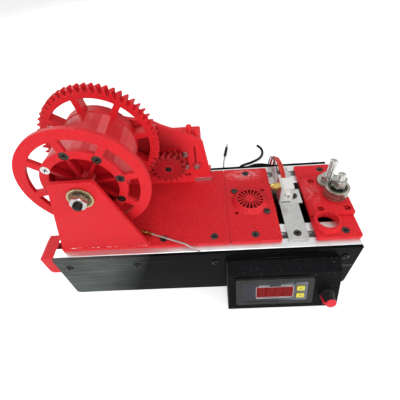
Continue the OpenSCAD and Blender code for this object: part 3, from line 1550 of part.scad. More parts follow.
// Brass tube on the base plate that guides the strand
module strand_guide() {
    way = unit(filament_route[1] - filament_route[0]);
    turn = atan2(way[1], way[0]);
    color("goldenrod") translate([filament_route[1][0], filament_route[1][1], plate_top + guide_r])
        rotate([0, 0, turn]) rotate([0, -90, 0]) difference() {
            union() {
                cylinder(h = guide_length, r = guide_r * 0.8);
                for (z = [0, guide_length * 0.55]) translate([0, 0, z])
                    cylinder(h = guide_length * 0.3, r = guide_r);
            }
            translate([0, 0, -overrun])
                cylinder(h = guide_length + 2 * overrun, r = filament_r + screw_play);
        }
}

module filament_end() color("white") tube(filament_route, filament_r);

module axle()
    color("dimgray") rod_back(axle_x, axle_front_y, axle_z, axle_rear_y - axle_front_y, bolt_r);

module axle_nuts()
    color("silver") for (y = [axle_nut_y, axle_rear_nut_y])
        nut_back(axle_x, y, axle_z, nut_flats, nut_height, bolt_r + seat_play);

// Rim, spokes and inner ring of a wheel, drawn around the axle
module spoked_outline(outer_r, rim_r, ring_r, bore_r)
    difference() {
        union() {
            difference() {
                circle(outer_r);
                circle(rim_r);
            }
            circle(ring_r);
            for (i = [0 : spoke_count - 1]) rotate(spoke_angle + 360 * i / spoke_count)
                translate([0, -spoke_width / 2]) square([rim_r + (outer_r - rim_r) / 2, spoke_width]);
        }
        circle(bore_r);
    }

// Countersunk holes through the inner ring, in line with the spokes
module flange_holes(y, face)
    for (i = [0 : spoke_count - 1])
        translate([axle_x, y, axle_z]) rotate([0, -spoke_angle - 360 * i / spoke_count, 0])
            translate([screw_circle_r, 0, 0]) rotate([90 * face, 0, 0]) children();

module front_flange() {
    flange_ring_r = drum_r + 0.5;
    color("crimson") difference() {
        upright(axle_x, flange_y, axle_z, flange_thick)
            spoked_outline(flange_r, flange_rim_r, flange_ring_r, drum_bore_r);
        flange_holes(flange_y, 1) sunk_hole(flange_thick + overrun);
    }
}

// Hollow many-sided drum: hub, web and ribs inside a thick wall
module spool_drum() {
    hub_y = flange_y + hub_lead;
    ribs_y = flange_y + rib_recess;
    rib_reach = screw_circle_r;
    color("crimson") difference() {
        union() {
            upright(axle_x, drum_y, axle_z, drum_length) difference() {
                polygon([for (i = [0 : drum_sides - 1]) let (a = 360 * i / drum_sides)
                    drum_r * [cos(a), sin(a)]]);
                circle(drum_bore_r);
            }
            upright(axle_x, drum_y + drum_web_drop, axle_z, drum_web_thick) circle(screw_circle_r);
            rod_back(axle_x, hub_y, axle_z, gear_y - hub_y, hub_r);
            intersection() {
                for (i = [0 : spoke_count - 1])
                    upright(axle_x, ribs_y, axle_z, drum_y + drum_web_drop - ribs_y + drum_web_thick / 2)
                        rotate(spoke_angle + 360 * i / spoke_count)
                            translate([hub_r / 2, -rib_thick / 2]) square([rib_reach - hub_r / 2, rib_thick]);
                union() {
                    upright(axle_x, ribs_y - overrun, axle_z, drum_y - ribs_y + overrun)
                        circle(drum_bore_r - 2 * seat_play);
                    upright(axle_x, drum_y, axle_z, drum_length) circle(screw_circle_r);
                }
            }
        }
        rod_back(axle_x, hub_y - overrun, axle_z, gear_y - hub_y + 2 * overrun, bolt_r + seat_play);
        flange_holes(drum_y, 1) translate([0, 0, -flange_screw_length])
            cylinder(h = flange_screw_length + overrun, r = screw_r + seat_play);
        flange_holes(gear_y, -1) translate([0, 0, -flange_screw_length])
            cylinder(h = flange_screw_length + overrun, r = screw_r + seat_play);
    }
}

// Angle between an involute's start and the point where it reaches radius r, in degrees
function involute_turn(base_r, r) =
    let (a = acos(min(1, base_r / r))) (tan(a) - a * PI / 180) * 180 / PI;

// One side of a gear tooth, from root to tip, as [radius, angle from the tooth's middle]
function flank(teeth, side) =
    let (pitch_r = gear_module * teeth / 2, base_r = pitch_r * cos(pressure_angle),
         tip_r = pitch_r + gear_module, root_r = pitch_r - root_share * gear_module,
         start_r = max(base_r, root_r),
         half = 90 / teeth - gear_play / 4 / pitch_r * 180 / PI,
         at_pitch = involute_turn(base_r, pitch_r))
    [for (i = [0 : flank_steps])
        let (r = start_r + (tip_r - start_r) * i / flank_steps,
             a = half + at_pitch - involute_turn(base_r, r)) [r, side * a]];

// Whole outline of a gear, one tooth centred on the x axis
function gear_points(teeth) =
    let (pitch_r = gear_module * teeth / 2, root_r = pitch_r - root_share * gear_module,
         low = flank(teeth, -1), high = flank(teeth, 1))
    [for (t = [0 : teeth - 1])
        let (a = 360 * t / teeth,
             first = [[root_r, low[0][1]]], last = [[root_r, high[0][1]]],
             tooth = concat(first, low, [for (i = [flank_steps : -1 : 0]) high[i]], last))
        for (p = tooth) [p[0] * cos(a + p[1]), p[0] * sin(a + p[1])]];

// Double-helical toothed ring standing up from the origin, its middle plane untwisted
module helical_teeth(teeth, hand, hole_r) {
    half_w = gear_width / 2;
    turn = hand * half_w * tan(helix_angle) / (gear_module * teeth / 2) * 180 / PI;
    translate([0, 0, half_w]) for (flip = [0, 1]) mirror([0, 0, flip])
        linear_extrude(height = half_w, twist = turn, slices = 2)
            difference() {
                polygon(gear_points(teeth));
                circle(hole_r);
            }
}

// Large gear that is the spool's rear flange
module spool_gear() {
    web_thick = 4;
    color("crimson") difference() {
        union() {
            translate([axle_x, gear_y + gear_width, axle_z]) rotate([90, 0, 0])
                rotate([0, 0, -pinion_drop]) helical_teeth(gear_teeth, 1, gear_rim_r + 1.5);
            upright(axle_x, gear_y, axle_z, gear_width) difference() {
                circle(gear_rim_r + 2);
                circle(gear_rim_r);
            }
            upright(axle_x, gear_y, axle_z, gear_width)
                spoked_outline(gear_rim_r + 1, gear_rim_r, drum_r + 0.5, drum_bore_r);
            upright(axle_x, gear_y, axle_z, web_thick) circle(drum_bore_r + 1);
            rod_back(axle_x, gear_y, axle_z, gear_width, hub_r);
        }
        rod_back(axle_x, gear_y - overrun, axle_z, gear_width + 2 * overrun, bolt_r + seat_play);
        flange_holes(gear_y + gear_width, -1) sunk_hole(gear_width + overrun);
    }
}

// Screws that hold the flange and the gear on the drum
module flange_screws()
    color("black") {
        flange_holes(flange_y + 2 * screw_play, 1) sunk_screw(flange_screw_length, true);
        flange_holes(gear_back_y - 2 * screw_play, -1)
            sunk_screw(flange_screw_length + gear_width / 2, true);
    }

// Pinion with its hub, on the gearbox's output shaft
module pinion() {
    shaft_y = gear_y + shaft_recess;
    gap_turn = 180 / pinion_teeth;
    color("crimson") {
        difference() {
            union() {
                translate([pinion_x, gear_y + gear_width, pinion_z]) rotate([90, 0, 0])
                    rotate([0, 0, 180 - pinion_drop + gap_turn]) helical_teeth(pinion_teeth, -1, shaft_r * 2);
                rod_back(pinion_x, gear_y, pinion_z, gear_width + pinion_hub_length, pinion_hub_r);
            }
            rod_back(pinion_x, gear_y - overrun, pinion_z, gear_width, shaft_r);
        }
        rod_back(pinion_x, shaft_y, pinion_z,
            rear_back_y + shaft_depth - gearbox_boss_h - shaft_y, shaft_r);
    }
}

front_rail();
rear_rail();
cross_rails();
rail_end_caps();
front_panel();
rear_panel();
end_panels();
bottom_plate();
panel_screws();
slot_nuts();
base_plate();
fan_plate();
cutter_plate();
plate_screws();
front_bracket();
rear_bracket();
packing_strip();
bracket_bolts();
bearing_outer_rings();
motor_gearbox();
motor_can();
motor_cover();
motor_screws();
cross_bar();
heater_angle();
heater_block();
nozzle();
heater_cartridge();
hot_end_screws();
heater_leads();
thermistor_lead();
cutter_bolts();
cutter_bushes();
rear_cutter_ring();
front_cutter_ring();
fan_frame();
fan_rotor();
fan_screws();
console_box();
controller_case();
controller_face();
display_window();
upper_button();
lower_button();
speed_controller();
speed_knob();
lead_grommets();
supply_lead();
sensor_lead();
sensor_sleeve();
strand_guide();
filament_end();
axle();
axle_nuts();
bearing_inner_rings();
front_flange();
spool_drum();
spool_gear();
flange_screws();
pinion();
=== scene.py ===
"""Looks of the filament extruder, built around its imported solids."""

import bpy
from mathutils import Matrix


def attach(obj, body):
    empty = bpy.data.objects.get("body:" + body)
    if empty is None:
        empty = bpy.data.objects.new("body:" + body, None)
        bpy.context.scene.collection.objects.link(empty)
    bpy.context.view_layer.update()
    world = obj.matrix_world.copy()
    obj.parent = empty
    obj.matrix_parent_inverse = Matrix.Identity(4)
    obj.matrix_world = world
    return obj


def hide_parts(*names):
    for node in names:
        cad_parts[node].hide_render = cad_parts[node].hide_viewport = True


bl_info = {
    "name": "Filament Extruder Looks",
    "version": (1, 0, 0),
    "blender": (4, 5, 0),
    "location": "3D View > Sidebar > Extruder",
    "description": "Finishes, leads, threads and a stage for a bench filament extruder",
    "category": "Add Mesh",
}

import math

import bmesh
import bpy
from mathutils import Matrix, Vector

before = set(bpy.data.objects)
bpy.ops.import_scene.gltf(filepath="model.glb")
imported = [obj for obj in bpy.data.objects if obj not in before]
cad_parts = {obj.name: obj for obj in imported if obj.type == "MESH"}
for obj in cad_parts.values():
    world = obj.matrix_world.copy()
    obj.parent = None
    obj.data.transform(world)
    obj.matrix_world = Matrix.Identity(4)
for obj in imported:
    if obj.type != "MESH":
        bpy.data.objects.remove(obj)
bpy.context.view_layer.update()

MM = 0.001
FRAME_BODY = "frame"


# Sizes and colours

class ExtruderSizes(bpy.types.PropertyGroup):
    thread_pitch: bpy.props.FloatProperty(
        name="Thread pitch", description="Pitch of the threads on the big bolts and the axle",
        default=1.25 * MM, min=0.8 * MM, max=2 * MM, unit="LENGTH", precision=5)
    thread_depth: bpy.props.FloatProperty(
        name="Thread depth", description="Depth of those threads",
        default=0.55 * MM, min=0.2 * MM, max=0.8 * MM, unit="LENGTH", precision=5)
    supply_width: bpy.props.FloatProperty(
        name="Supply lead", description="Diameter of the black supply lead",
        default=3.8 * MM, min=3.2 * MM, max=3.9 * MM, unit="LENGTH", precision=5)
    sensor_width: bpy.props.FloatProperty(
        name="Sensor lead", description="Diameter of the braided sensor lead",
        default=2 * MM, min=1.6 * MM, max=2 * MM, unit="LENGTH", precision=5)
    heater_width: bpy.props.FloatProperty(
        name="Heater leads", description="Diameter of the two red heater leads",
        default=2.8 * MM, min=2 * MM, max=3 * MM, unit="LENGTH", precision=5)
    thermistor_width: bpy.props.FloatProperty(
        name="Temperature lead", description="Diameter of the thin lead beside the heater's",
        default=1.4 * MM, min=1.2 * MM, max=1.8 * MM, unit="LENGTH", precision=5)
    digit_height: bpy.props.FloatProperty(
        name="Digit height", description="Height of the display's digits",
        default=8.6 * MM, min=6 * MM, max=10 * MM, unit="LENGTH", precision=5)
    filament_width: bpy.props.FloatProperty(
        name="Filament", description="Diameter of the loose end of filament",
        default=1.75 * MM, min=1.6 * MM, max=1.8 * MM, unit="LENGTH", precision=5)


class ExtruderColours(bpy.types.PropertyGroup):
    red_print: bpy.props.FloatVectorProperty(
        name="Red print", description="Colour of the printed parts",
        default=(0.66, 0.008, 0.016), min=0, max=1, subtype="COLOR")
    black_panel: bpy.props.FloatVectorProperty(
        name="Black panels", description="Colour of the acrylic panels",
        default=(0.006, 0.006, 0.007), min=0, max=1, subtype="COLOR")
    yellow_key: bpy.props.FloatVectorProperty(
        name="Keys", description="Colour of the two keys",
        default=(0.52, 0.46, 0.06), min=0, max=1, subtype="COLOR")
    display_red: bpy.props.FloatVectorProperty(
        name="Display", description="Colour of the display's window",
        default=(0.19, 0.003, 0.005), min=0, max=1, subtype="COLOR")
    floor: bpy.props.FloatVectorProperty(
        name="Floor", description="Colour of the studio floor",
        default=(0.90, 0.90, 0.90), min=0, max=1, subtype="COLOR")


def sizes():
    return bpy.context.scene.extruder_sizes


def colours():
    return bpy.context.scene.extruder_colours


# Places and sizes, in millimetres

# Spool, axle and bearings: X and Z of the axle, then places along Y
AXLE = (-97.2, 147.0)
AXLE_ENDS = (-64.4, 58.9)
AXLE_THREADS_FROM = (52.0, 45.0)
AXLE_CROWN = 0.9
AXLE_NUT_FACES = (-60.4, 46.4)
BEARING_FACES = (-53.9, 46.4)
SHIELD_OUTLINE = ((6.45, -0.36), (6.7, -0.16), (7.3, -0.06), (8.1, -0.10), (8.9, -0.16), (9.3, -0.36))
DRUM_FLATS = 32
# picks which of the drum's flats carry painted highlights
DRUM_SEED = 0.5

# Big bolts and nuts: a thread's ridge is in shares of its pitch, a nut is its width across flats
# and its height, and its cuts are in degrees
BOLT_RADIUS = 4.0
THREAD_SINK = 0.7
THREAD_ROOT = 0.1
THREAD_RIDGE = (0, 0.40, 0.52, 0.92)
BIG_NUT = (13.0, 6.5)
NUT_CHAMFER = 32
NUT_CUTS = (-14, 0, 14)
NUT_CUT_REACH = 0.985

# Cutter: the two posts with their threads' starts, then heights
REAR_POST = (139.8, 18.5)
FRONT_POST = (141.3, -2.5)
POST_THREADS_FROM = (20.0, 26.0)
POST_FOOT = 67.0
POST_TOP = 110.5
POST_CROWN = 1.7
BOLT_HEAD_FOOT = 64.7
BOLT_HEAD_HEIGHT = 5.3
REAR_NUT_FOOT = 82.03
FRONT_NUT_FEET = (90.1, 96.63)

# Pinion's face
PINION_CENTRE = (-34.758, 20.0, 109.184)
SOCKET_RADIUS = 4.5
SOCKET_WAIST = 0.60
SOCKET_RELIEF = 0.06
SOCKET_RIM = ((4.6, 0), (4.75, 0.22), (5.15, 0.22), (5.3, 0))

# Console: places on its face are X and the way down from its lip
CONSOLE_TILT = math.radians(20)
CONSOLE_LIP = (-75.5, 46.8)
CONSOLE_LEFT = -21.9
CONTROLLER = (68.7, 20.2)
KNOB = (122.4, 28.0)
KNOB_NORMAL = (0.0, -math.cos(CONSOLE_TILT), math.sin(CONSOLE_TILT))
KNOB_RED_LEVEL = 100.72
KNOB_CAP = ((5.25, 13.3), (5.25, 13.72), (5.0, 14.0), (4.4, 14.16), (3.0, 14.24), (0, 14.27))
POINTER = (3.5, 1.5, 11.6)
POINTER_FOOT = (-5.85, 0, 2.1)
POINTER_BEVEL = 0.15

# Controller's face, from its middle: DISPLAY is X, Y, width and height
FACE_TOP = 2.6
DISPLAY = (0.2, -0.6, 36.5, 12.8)
RIM_GROWTH = 1.3
RIM_WIDTH = 0.5
RIM_RELIEF = 0.24
DIGITS = 4
DIGIT_PITCH = 0.235
DIGIT_LEAN = math.radians(8)
DIGIT_LIFT = 0.2
BAR_WIDTH = 0.85 * 1.15
BAR_SHARE = 0.92
RULE_PITCH = 1.85
RULE_LENGTHS = (1.45, 1.15, 1.15)
RULES_ABOVE = 2.1
RULES_BELOW = 1.9
INK_RELIEF = 0.05
INDICATORS = ((-18.4, 10.4), (20.1, 10.4))
INDICATOR_OUTLINE = ((1.3, 0), (1.3, 0.2), (1.0, 0.38), (0.5, 0.46), (0, 0.48))
KEY_TOP = 3.6
UPPER_KEY = (26.1, 3.9)
LOWER_KEY = (26.1, -5.8)
ARROW_RADIUS = 1.25
ARROW_RELIEF = 0.04

# Sensor probe: outlines of (radius, distance from the lead's end)
PROBE_RADIUS = 2.3
SLEEVE_OUTLINE = ((0, 0), (1.7, 0), (2.1, 0.5), (2.3, 1.3), (2.3, 21.9), (2.1, 22.7), (1.8, 23), (0, 23))
TIP_OUTLINE = ((0, 22.9), (1.75, 22.9), (1.75, 25), (2.1, 25.4), (2.1, 26.6), (1.75, 27), (1.75, 30.6),
               (1.3, 31.6), (0, 31.8))

# Marks of the finishes, among them painted shade, painted glare and a painted reflection: centres with
# radii, then a height, and spans along X
# painted shade that the spool casts on the rear bracket round the gears: centre and radii
GEAR_SHADE = ((-46.0, 36.2, 118.0), (42.0, 5.0, 44.0))
# painted glare on the fan plate and on the cutter plate's pad: centres and radii
FAN_PLATE_GLARE = ((50, 43, 71.8), (26, 11, 20))
CUTTER_PLATE_GLARE = ((119, 5, 74), (9, 22, 20))
SILVER_FLANGE_SCREW = ((-123.7, -38.0, 165.8), 7.0)
SILVER_HOT_SCREW = ((90.05, -7.0, 86.4), 7.5)
FRONT_BRACKET_FOOT = 75.6
# painted reflection on the acrylic panels: the span along X over which it fades in, and its slant with
# height
REFLECTION_EDGE = (-80, -116)
REFLECTION_SLANT = 0.4
# painted glare across the controller's face: where it starts and where it is full along X
FACE_GLARE_SPAN = (72, 99)

# Stage: lens and camera in millimetres and degrees, softboxes in metres and watts
CAMERA_LENS = 26.27
CAMERA_PLACE = (11.53, -217.23, 314.98)
CAMERA_TURN = (42.6605, 3.9852, -0.4934)
WORLD_LIGHT = 0.42
FLOOR_GLOW = 0.45
SOFTBOX_AIM = (0, 0, 0.07)
SOFTBOXES = (
    ("front_softbox", (0.05, -1.25, 0.62), 0.9, 9.6),
    ("top_softbox", (-0.30, -0.20, 1.30), 0.9, 3.0),
    ("rear_softbox", (-0.75, 0.75, 0.70), 0.7, 4.0),
    ("side_softbox", (0.95, -0.45, 0.50), 0.7, 4.5),
)


# Nodes

FLOAT, VECTOR = "NodeSocketFloat", "NodeSocketVector"
NUMBER_RESULTS = ("DOT_PRODUCT", "DISTANCE", "LENGTH")


def feed(tree, socket, value):
    """Link a socket to this input, or set it to a number, a triple or a colour."""
    if isinstance(value, bpy.types.NodeSocket):
        tree.links.new(value, socket)
    else:
        socket.default_value = value


def add_node(tree, kind, inputs, **settings):
    """Node with its settings and its inputs, which are sockets or values."""
    node = tree.nodes.new("ShaderNode" + kind)
    for key, value in settings.items():
        setattr(node, key, value)
    for label, value in inputs.items():
        feed(tree, node.inputs[label], value)
    return node


def math_node(tree, operation, *values):
    return add_node(tree, "Math", dict(enumerate(values)), operation=operation).outputs[0]


def vector_node(tree, operation, *values):
    node = add_node(tree, "VectorMath", dict(enumerate(values)), operation=operation)
    return node.outputs["Value" if operation in NUMBER_RESULTS else "Vector"]


def noise_node(tree, vector, scale, detail=4.0, rough=0.5, distortion=0.0):
    inputs = {"Vector": vector, "Scale": scale, "Detail": detail, "Roughness": rough,
              "Distortion": distortion}
    return add_node(tree, "TexNoise", inputs).outputs["Fac"]


def remap(tree, value, low, high, to_low=0.0, to_high=1.0):
    """The value carried from one range to another and held inside it."""
    inputs = {"Value": value, "From Min": low, "From Max": high, "To Min": to_low, "To Max": to_high}
    return add_node(tree, "MapRange", inputs).outputs["Result"]


def coordinate(tree, vector, axis):
    return add_node(tree, "SeparateXYZ", {0: vector}).outputs[axis]


def blend_colours(tree, mask, first, second):
    """Mix two colours by a mask; each may be a socket or a triple."""
    ends = [c if isinstance(c, bpy.types.NodeSocket) else (*c, 1) for c in (first, second)]
    return add_node(tree, "Mix", {0: mask, 6: ends[0], 7: ends[1]}, data_type="RGBA").outputs[2]


# Node groups

def new_group(name, inputs, outputs):
    """Empty shader group and its inner sockets, from its inputs' defaults and its outputs' kinds."""
    group = bpy.data.node_groups.new(name, "ShaderNodeTree")
    for label, default in inputs.items():
        kind = FLOAT if isinstance(default, float) else VECTOR
        socket = group.interface.new_socket(name=label, in_out="INPUT", socket_type=kind)
        if default is not None:
            socket.default_value = default
    for label, kind in outputs.items():
        group.interface.new_socket(name=label, in_out="OUTPUT", socket_type=kind)
    entry = group.nodes.new("NodeGroupInput")
    return group, entry.outputs, group.nodes.new("NodeGroupOutput").inputs


def build_print_layers(name):
    """Fine ridges of a printed part, square to its Layers direction, with uneven bands."""
    group, given, out = new_group(name, {"Vector": None, "Layers": (0, 0, 1), "Ridge": 0.4 * MM},
                                  {"Height": FLOAT, "Bands": FLOAT})
    height = vector_node(group, "DOT_PRODUCT", given["Vector"], given["Layers"])
    turns = math_node(group, "DIVIDE", height, given["Ridge"])
    wave = math_node(group, "SINE", math_node(group, "MULTIPLY", turns, math.tau))
    feed(group, out["Height"], math_node(group, "ABSOLUTE", wave))
    line = add_node(group, "CombineXYZ", {"X": height}).outputs["Vector"]
    feed(group, out["Bands"], noise_node(group, line, scale=900.0, detail=2.0))
    return group


def build_speckle(name):
    """Fine speckle, broad mottling and a dust mask."""
    group, given, out = new_group(name, {"Vector": None, "Fine": 1800.0, "Broad": 60.0},
                                  {"Fine": FLOAT, "Broad": FLOAT, "Dust": FLOAT})
    vector = given["Vector"]
    feed(group, out["Fine"], noise_node(group, vector, given["Fine"], detail=3.0, rough=0.6))
    feed(group, out["Broad"], noise_node(group, vector, given["Broad"], detail=4.0, rough=0.55))
    dust = noise_node(group, vector, scale=2600.0, detail=2.0, rough=0.8)
    feed(group, out["Dust"], remap(group, dust, 0.66, 0.74))
    return group


def build_streaks(name):
    """Long hair lines along one direction, as brushing, drawing or wiping leaves them."""
    group, given, out = new_group(name, {"Vector": None, "Stretch": (1, 40, 40), "Scale": 60.0},
                                  {"Lines": FLOAT, "Scratches": FLOAT})
    vector = vector_node(group, "MULTIPLY", given["Vector"], given["Stretch"])
    feed(group, out["Lines"], noise_node(group, vector, given["Scale"], detail=5.0, rough=0.65))
    coarse = math_node(group, "MULTIPLY", given["Scale"], 0.37)
    rare = noise_node(group, vector, coarse, detail=2.0, rough=0.4)
    feed(group, out["Scratches"], remap(group, rare, 0.68, 0.72))
    return group


def build_worn_edges(name):
    """Mask of the sharp edges, broken up by noise, and a normal that rounds them."""
    group, given, out = new_group(name, {"Vector": None, "Radius": 0.5 * MM},
                                  {"Mask": FLOAT, "Rounded": VECTOR})
    rounded = add_node(group, "Bevel", {"Radius": given["Radius"]}, samples=4).outputs["Normal"]
    surface = add_node(group, "NewGeometry", {}).outputs["Normal"]
    edge = remap(group, vector_node(group, "DOT_PRODUCT", rounded, surface), 0.99, 0.90)
    patches = remap(group, noise_node(group, given["Vector"], scale=420.0, detail=3.0), 0.42, 0.62)
    feed(group, out["Mask"], math_node(group, "MULTIPLY", edge, patches))
    feed(group, out["Rounded"], rounded)
    return group


def build_glare_swirls(name):
    """Curling hair lines, as rubbing leaves them on gloss; they break up the patches of painted glare.
    """
    group, given, out = new_group(name, {"Vector": None}, {"Lines": FLOAT})
    curls = noise_node(group, given["Vector"], scale=90.0, detail=3.0, distortion=2.6)
    feed(group, out["Lines"], remap(group, curls, 0.40, 0.66))
    return group


def build_spot(name):
    """Mask of an ellipsoid round a place, full within the Core share of its radius."""
    group, given, out = new_group(
        name, {"Vector": None, "Centre": (0, 0, 0), "Radius": (MM, MM, MM), "Core": 0.15},
        {"Mask": FLOAT})
    arm = vector_node(group, "SUBTRACT", given["Vector"], given["Centre"])
    reach = vector_node(group, "LENGTH", vector_node(group, "DIVIDE", arm, given["Radius"]))
    feed(group, out["Mask"], remap(group, reach, 1.0, given["Core"]))
    return group


def build_level(name):
    """Mask of what lies above a plane, given by its normal and its height along it."""
    group, given, out = new_group(name, {"Vector": None, "Normal": (0, 0, 1), "Level": 0.0},
                                  {"Above": FLOAT})
    height = vector_node(group, "DOT_PRODUCT", given["Vector"], given["Normal"])
    over = math_node(group, "SUBTRACT", height, given["Level"])
    feed(group, out["Above"], remap(group, over, -0.1 * MM, 0.1 * MM))
    return group


def build_hollow_shade(name):
    """Mask of the hollows of the piece itself, such as a screw's socket, where painted shade goes."""
    group, given, out = new_group(name, {"Reach": 2 * MM}, {"Mask": FLOAT})
    hollow = add_node(group, "AmbientOcclusion", {"Distance": given["Reach"]},
                      samples=6, only_local=True)
    feed(group, out["Mask"], remap(group, hollow.outputs["AO"], 0.88, 0.55))
    return group


GROUPS = {
    "Print Layers": build_print_layers, "Speckle": build_speckle, "Streaks": build_streaks,
    "Worn Edges": build_worn_edges, "Glare Swirls": build_glare_swirls, "Spot": build_spot,
    "Level": build_level, "Hollow Shade": build_hollow_shade,
}


def group_once(name):
    return bpy.data.node_groups.get(name) or GROUPS[name](name)


# Materials

class Finish:
    """One material under construction: its shader, its coordinates and its colour so far."""

    def __init__(self, name, roughness, specular=0.5, ior=1.5, metallic=0.0):
        self.material = bpy.data.materials.new(name)
        self.material.use_nodes = True
        self.tree = self.material.node_tree
        self.shader = next(n for n in self.tree.nodes if n.type == "BSDF_PRINCIPLED")
        for label, value in (("Metallic", metallic), ("Roughness", roughness),
                             ("Specular IOR Level", specular), ("IOR", ior)):
            self.shader.inputs[label].default_value = value
        self.place = add_node(self.tree, "TexCoord", {}).outputs["Object"]
        self.base = None

    def group(self, name, **values):
        """Outputs of a node group that is fed by the material's coordinates."""
        node = add_node(self.tree, "Group", {}, node_tree=group_once(name))
        if "Vector" in node.inputs:
            values["Vector"] = self.place
        for label, value in values.items():
            feed(self.tree, node.inputs[label], value)
        return node.outputs

    def spot(self, centre, radius, core=0.15):
        """Mask round a place, its centre and radii in millimetres."""
        return self.group("Spot", Centre=tuple(c * MM for c in centre),
                          Radius=tuple(r * MM for r in radius), Core=core)["Mask"]

    def above(self, normal, level):
        """Mask of what lies above a plane, its level in millimetres."""
        return self.group("Level", Normal=normal, Level=level * MM)["Above"]

    def math(self, operation, *values):
        return math_node(self.tree, operation, *values)

    def times(self, first, second):
        return self.math("MULTIPLY", first, second)

    def remap(self, value, *limits):
        return remap(self.tree, value, *limits)

    def coordinate(self, axis):
        return coordinate(self.tree, self.place, axis)

    def start(self, mask, first, second):
        """Base colour that goes from one to the other with the mask."""
        self.base = blend_colours(self.tree, mask, first, second)

    def lay(self, mask, colour, share=None):
        """Lay a colour over the base by the mask, or by a share of it."""
        if share is not None:
            mask = self.times(mask, share)
        self.base = blend_colours(self.tree, mask, self.base, colour)

    def link(self, socket, label):
        self.tree.links.new(socket, self.shader.inputs[label])

    def done(self, relief, depth, strength, rough=None, normal=None):
        """Link the base colour, the relief and the roughness, and give the material."""
        self.link(self.base, "Base Color")
        if rough is not None:
            self.link(rough, "Roughness")
        inputs = {"Height": relief, "Distance": depth, "Strength": strength}
        if normal is not None:
            inputs["Normal"] = normal
        self.link(add_node(self.tree, "Bump", inputs).outputs["Normal"], "Normal")
        return self.material


def lighter(colour, share):
    return tuple(c + (1 - c) * share for c in colour)


def lifted(colour, share):
    """Brighter in its own hue."""
    return tuple(min(1, c * (1 + share)) for c in colour)


def darker(colour, share):
    return tuple(c * (1 - share) for c in colour)


def arm_from_axle(finish):
    x, z = AXLE
    return vector_node(finish.tree, "SUBTRACT", finish.place, (x * MM, 0.0, z * MM))


def outer_wall(finish):
    """One on faces that look away from the spool's axle, nothing on its ends and inner walls."""
    tree = finish.tree
    arm = vector_node(tree, "MULTIPLY", arm_from_axle(finish), (1.0, 0.0, 1.0))
    normal = add_node(tree, "TexCoord", {}).outputs["Normal"]
    facing = vector_node(tree, "DOT_PRODUCT", vector_node(tree, "NORMALIZE", arm), normal)
    return remap(tree, facing, 0.5, 0.9)


def flat_tones(finish):
    """A number from nothing to one, the same all over each of the drum's flats."""
    arm = arm_from_axle(finish)
    x, z = (coordinate(finish.tree, arm, axis) for axis in "XZ")
    flat = finish.math("FLOOR", finish.times(finish.math("ARCTAN2", z, x), DRUM_FLATS / math.tau))
    seed = finish.math("ADD", flat, DRUM_SEED)
    return add_node(finish.tree, "TexWhiteNoise", {"W": seed}, noise_dimensions="1D").outputs["Value"]


def lay_drum_light_and_shade(finish, colour, stretch):
    """Painted highlights on the drum's outside, pale flats and long lines, and painted shade on its ends
    and inner walls.
    """
    streaks = finish.group("Streaks", Stretch=stretch, Scale=3.0)
    walls = outer_wall(finish)
    # painted shade on the drum's ends and inner walls
    finish.lay(finish.math("SUBTRACT", 1.0, walls), darker(colour, 0.32))
    # painted highlights: pale flats, pale streaks along the axle and bright hair lines
    lines = finish.math("MAXIMUM", finish.remap(flat_tones(finish), 0.66, 1.0, 0.0, 0.85),
                        finish.remap(streaks["Lines"], 0.48, 0.66, 0.0, 0.35))
    lines = finish.math("MAXIMUM", lines, finish.times(streaks["Scratches"], 0.8))
    finish.lay(lines, lighter(lifted(colour, 0.3), 0.13), walls)


def printed_plastic(name, colour, layers=(0, 0, 1), ridge=0.4 * MM, gloss=0.42, grain=1800.0,
                    grain_depth=0.05 * MM, grain_mix=0.45, wear=0.3, ior=1.24, sheen_stretch=None,
                    chipped_below=None, glares=(), painted_shade=None, shaded=0.0):
    """Red printed plastic: layer ridges, speckle, mottling, a little dust and rubbed edges.

    sheen_stretch stretches the drum's painted highlights, long pale streaks along the axle, and adds
    painted shade on its ends and inner walls; chips show white under a height in millimetres, glares are
    patches of painted glare in rubbing swirls: (centre, radius, strength), painted_shade is a patch of
    painted shade: (centre, radius), and shaded paints shade into the holes."""
    finish = Finish(name, gloss, ior=ior)
    ridges = finish.group("Print Layers", Layers=layers, Ridge=ridge)
    speckle = finish.group("Speckle", Fine=grain)
    edges = finish.group("Worn Edges", Radius=0.5 * MM)
    finish.start(finish.remap(speckle["Broad"], 0.3, 0.7), darker(colour, 0.12), colour)
    finish.lay(finish.remap(speckle["Fine"], 0.38, 0.68, 0.0, grain_mix),
               lighter(lifted(colour, 0.12), 0.045))
    finish.lay(finish.remap(ridges["Bands"], 0.45, 0.7, 0.0, 0.25), darker(colour, 0.25))
    finish.lay(edges["Mask"], lighter(colour, 0.22), wear)
    finish.lay(speckle["Dust"], DUST_ON_RED, 0.06)
    # painted highlights and painted shade on the drum
    if sheen_stretch is not None:
        lay_drum_light_and_shade(finish, colour, sheen_stretch)
    if chipped_below is not None:
        low = finish.remap(finish.coordinate("Z"), chipped_below * MM, (chipped_below - 0.5) * MM)
        chips = noise_node(finish.tree, finish.place, scale=330.0, detail=3.0, rough=0.6)
        finish.lay(finish.remap(chips, 0.56, 0.60), CHIP_WHITE, low)
    # painted shade in the holes
    if shaded:
        finish.lay(finish.group("Hollow Shade")["Mask"], darker(colour, 0.92), shaded)
    # painted shade: a dark patch round a place
    if painted_shade is not None:
        finish.lay(finish.spot(*painted_shade, core=0.45), darker(colour, 0.65), 0.8)
    # painted glare: pale patches laid in curling rubbing lines
    for centre, radius, strength in glares:
        rubbed = finish.times(finish.spot(centre, radius), finish.group("Glare Swirls")["Lines"])
        finish.lay(rubbed, GLARE_PINK, strength)
    relief = finish.math("ADD", finish.times(ridges["Height"], 0.5), speckle["Fine"])
    rough = finish.remap(speckle["Broad"], 0.25, 0.75, gloss - 0.08, gloss + 0.12)
    return finish.done(relief, grain_depth, 0.6, rough, edges["Rounded"])


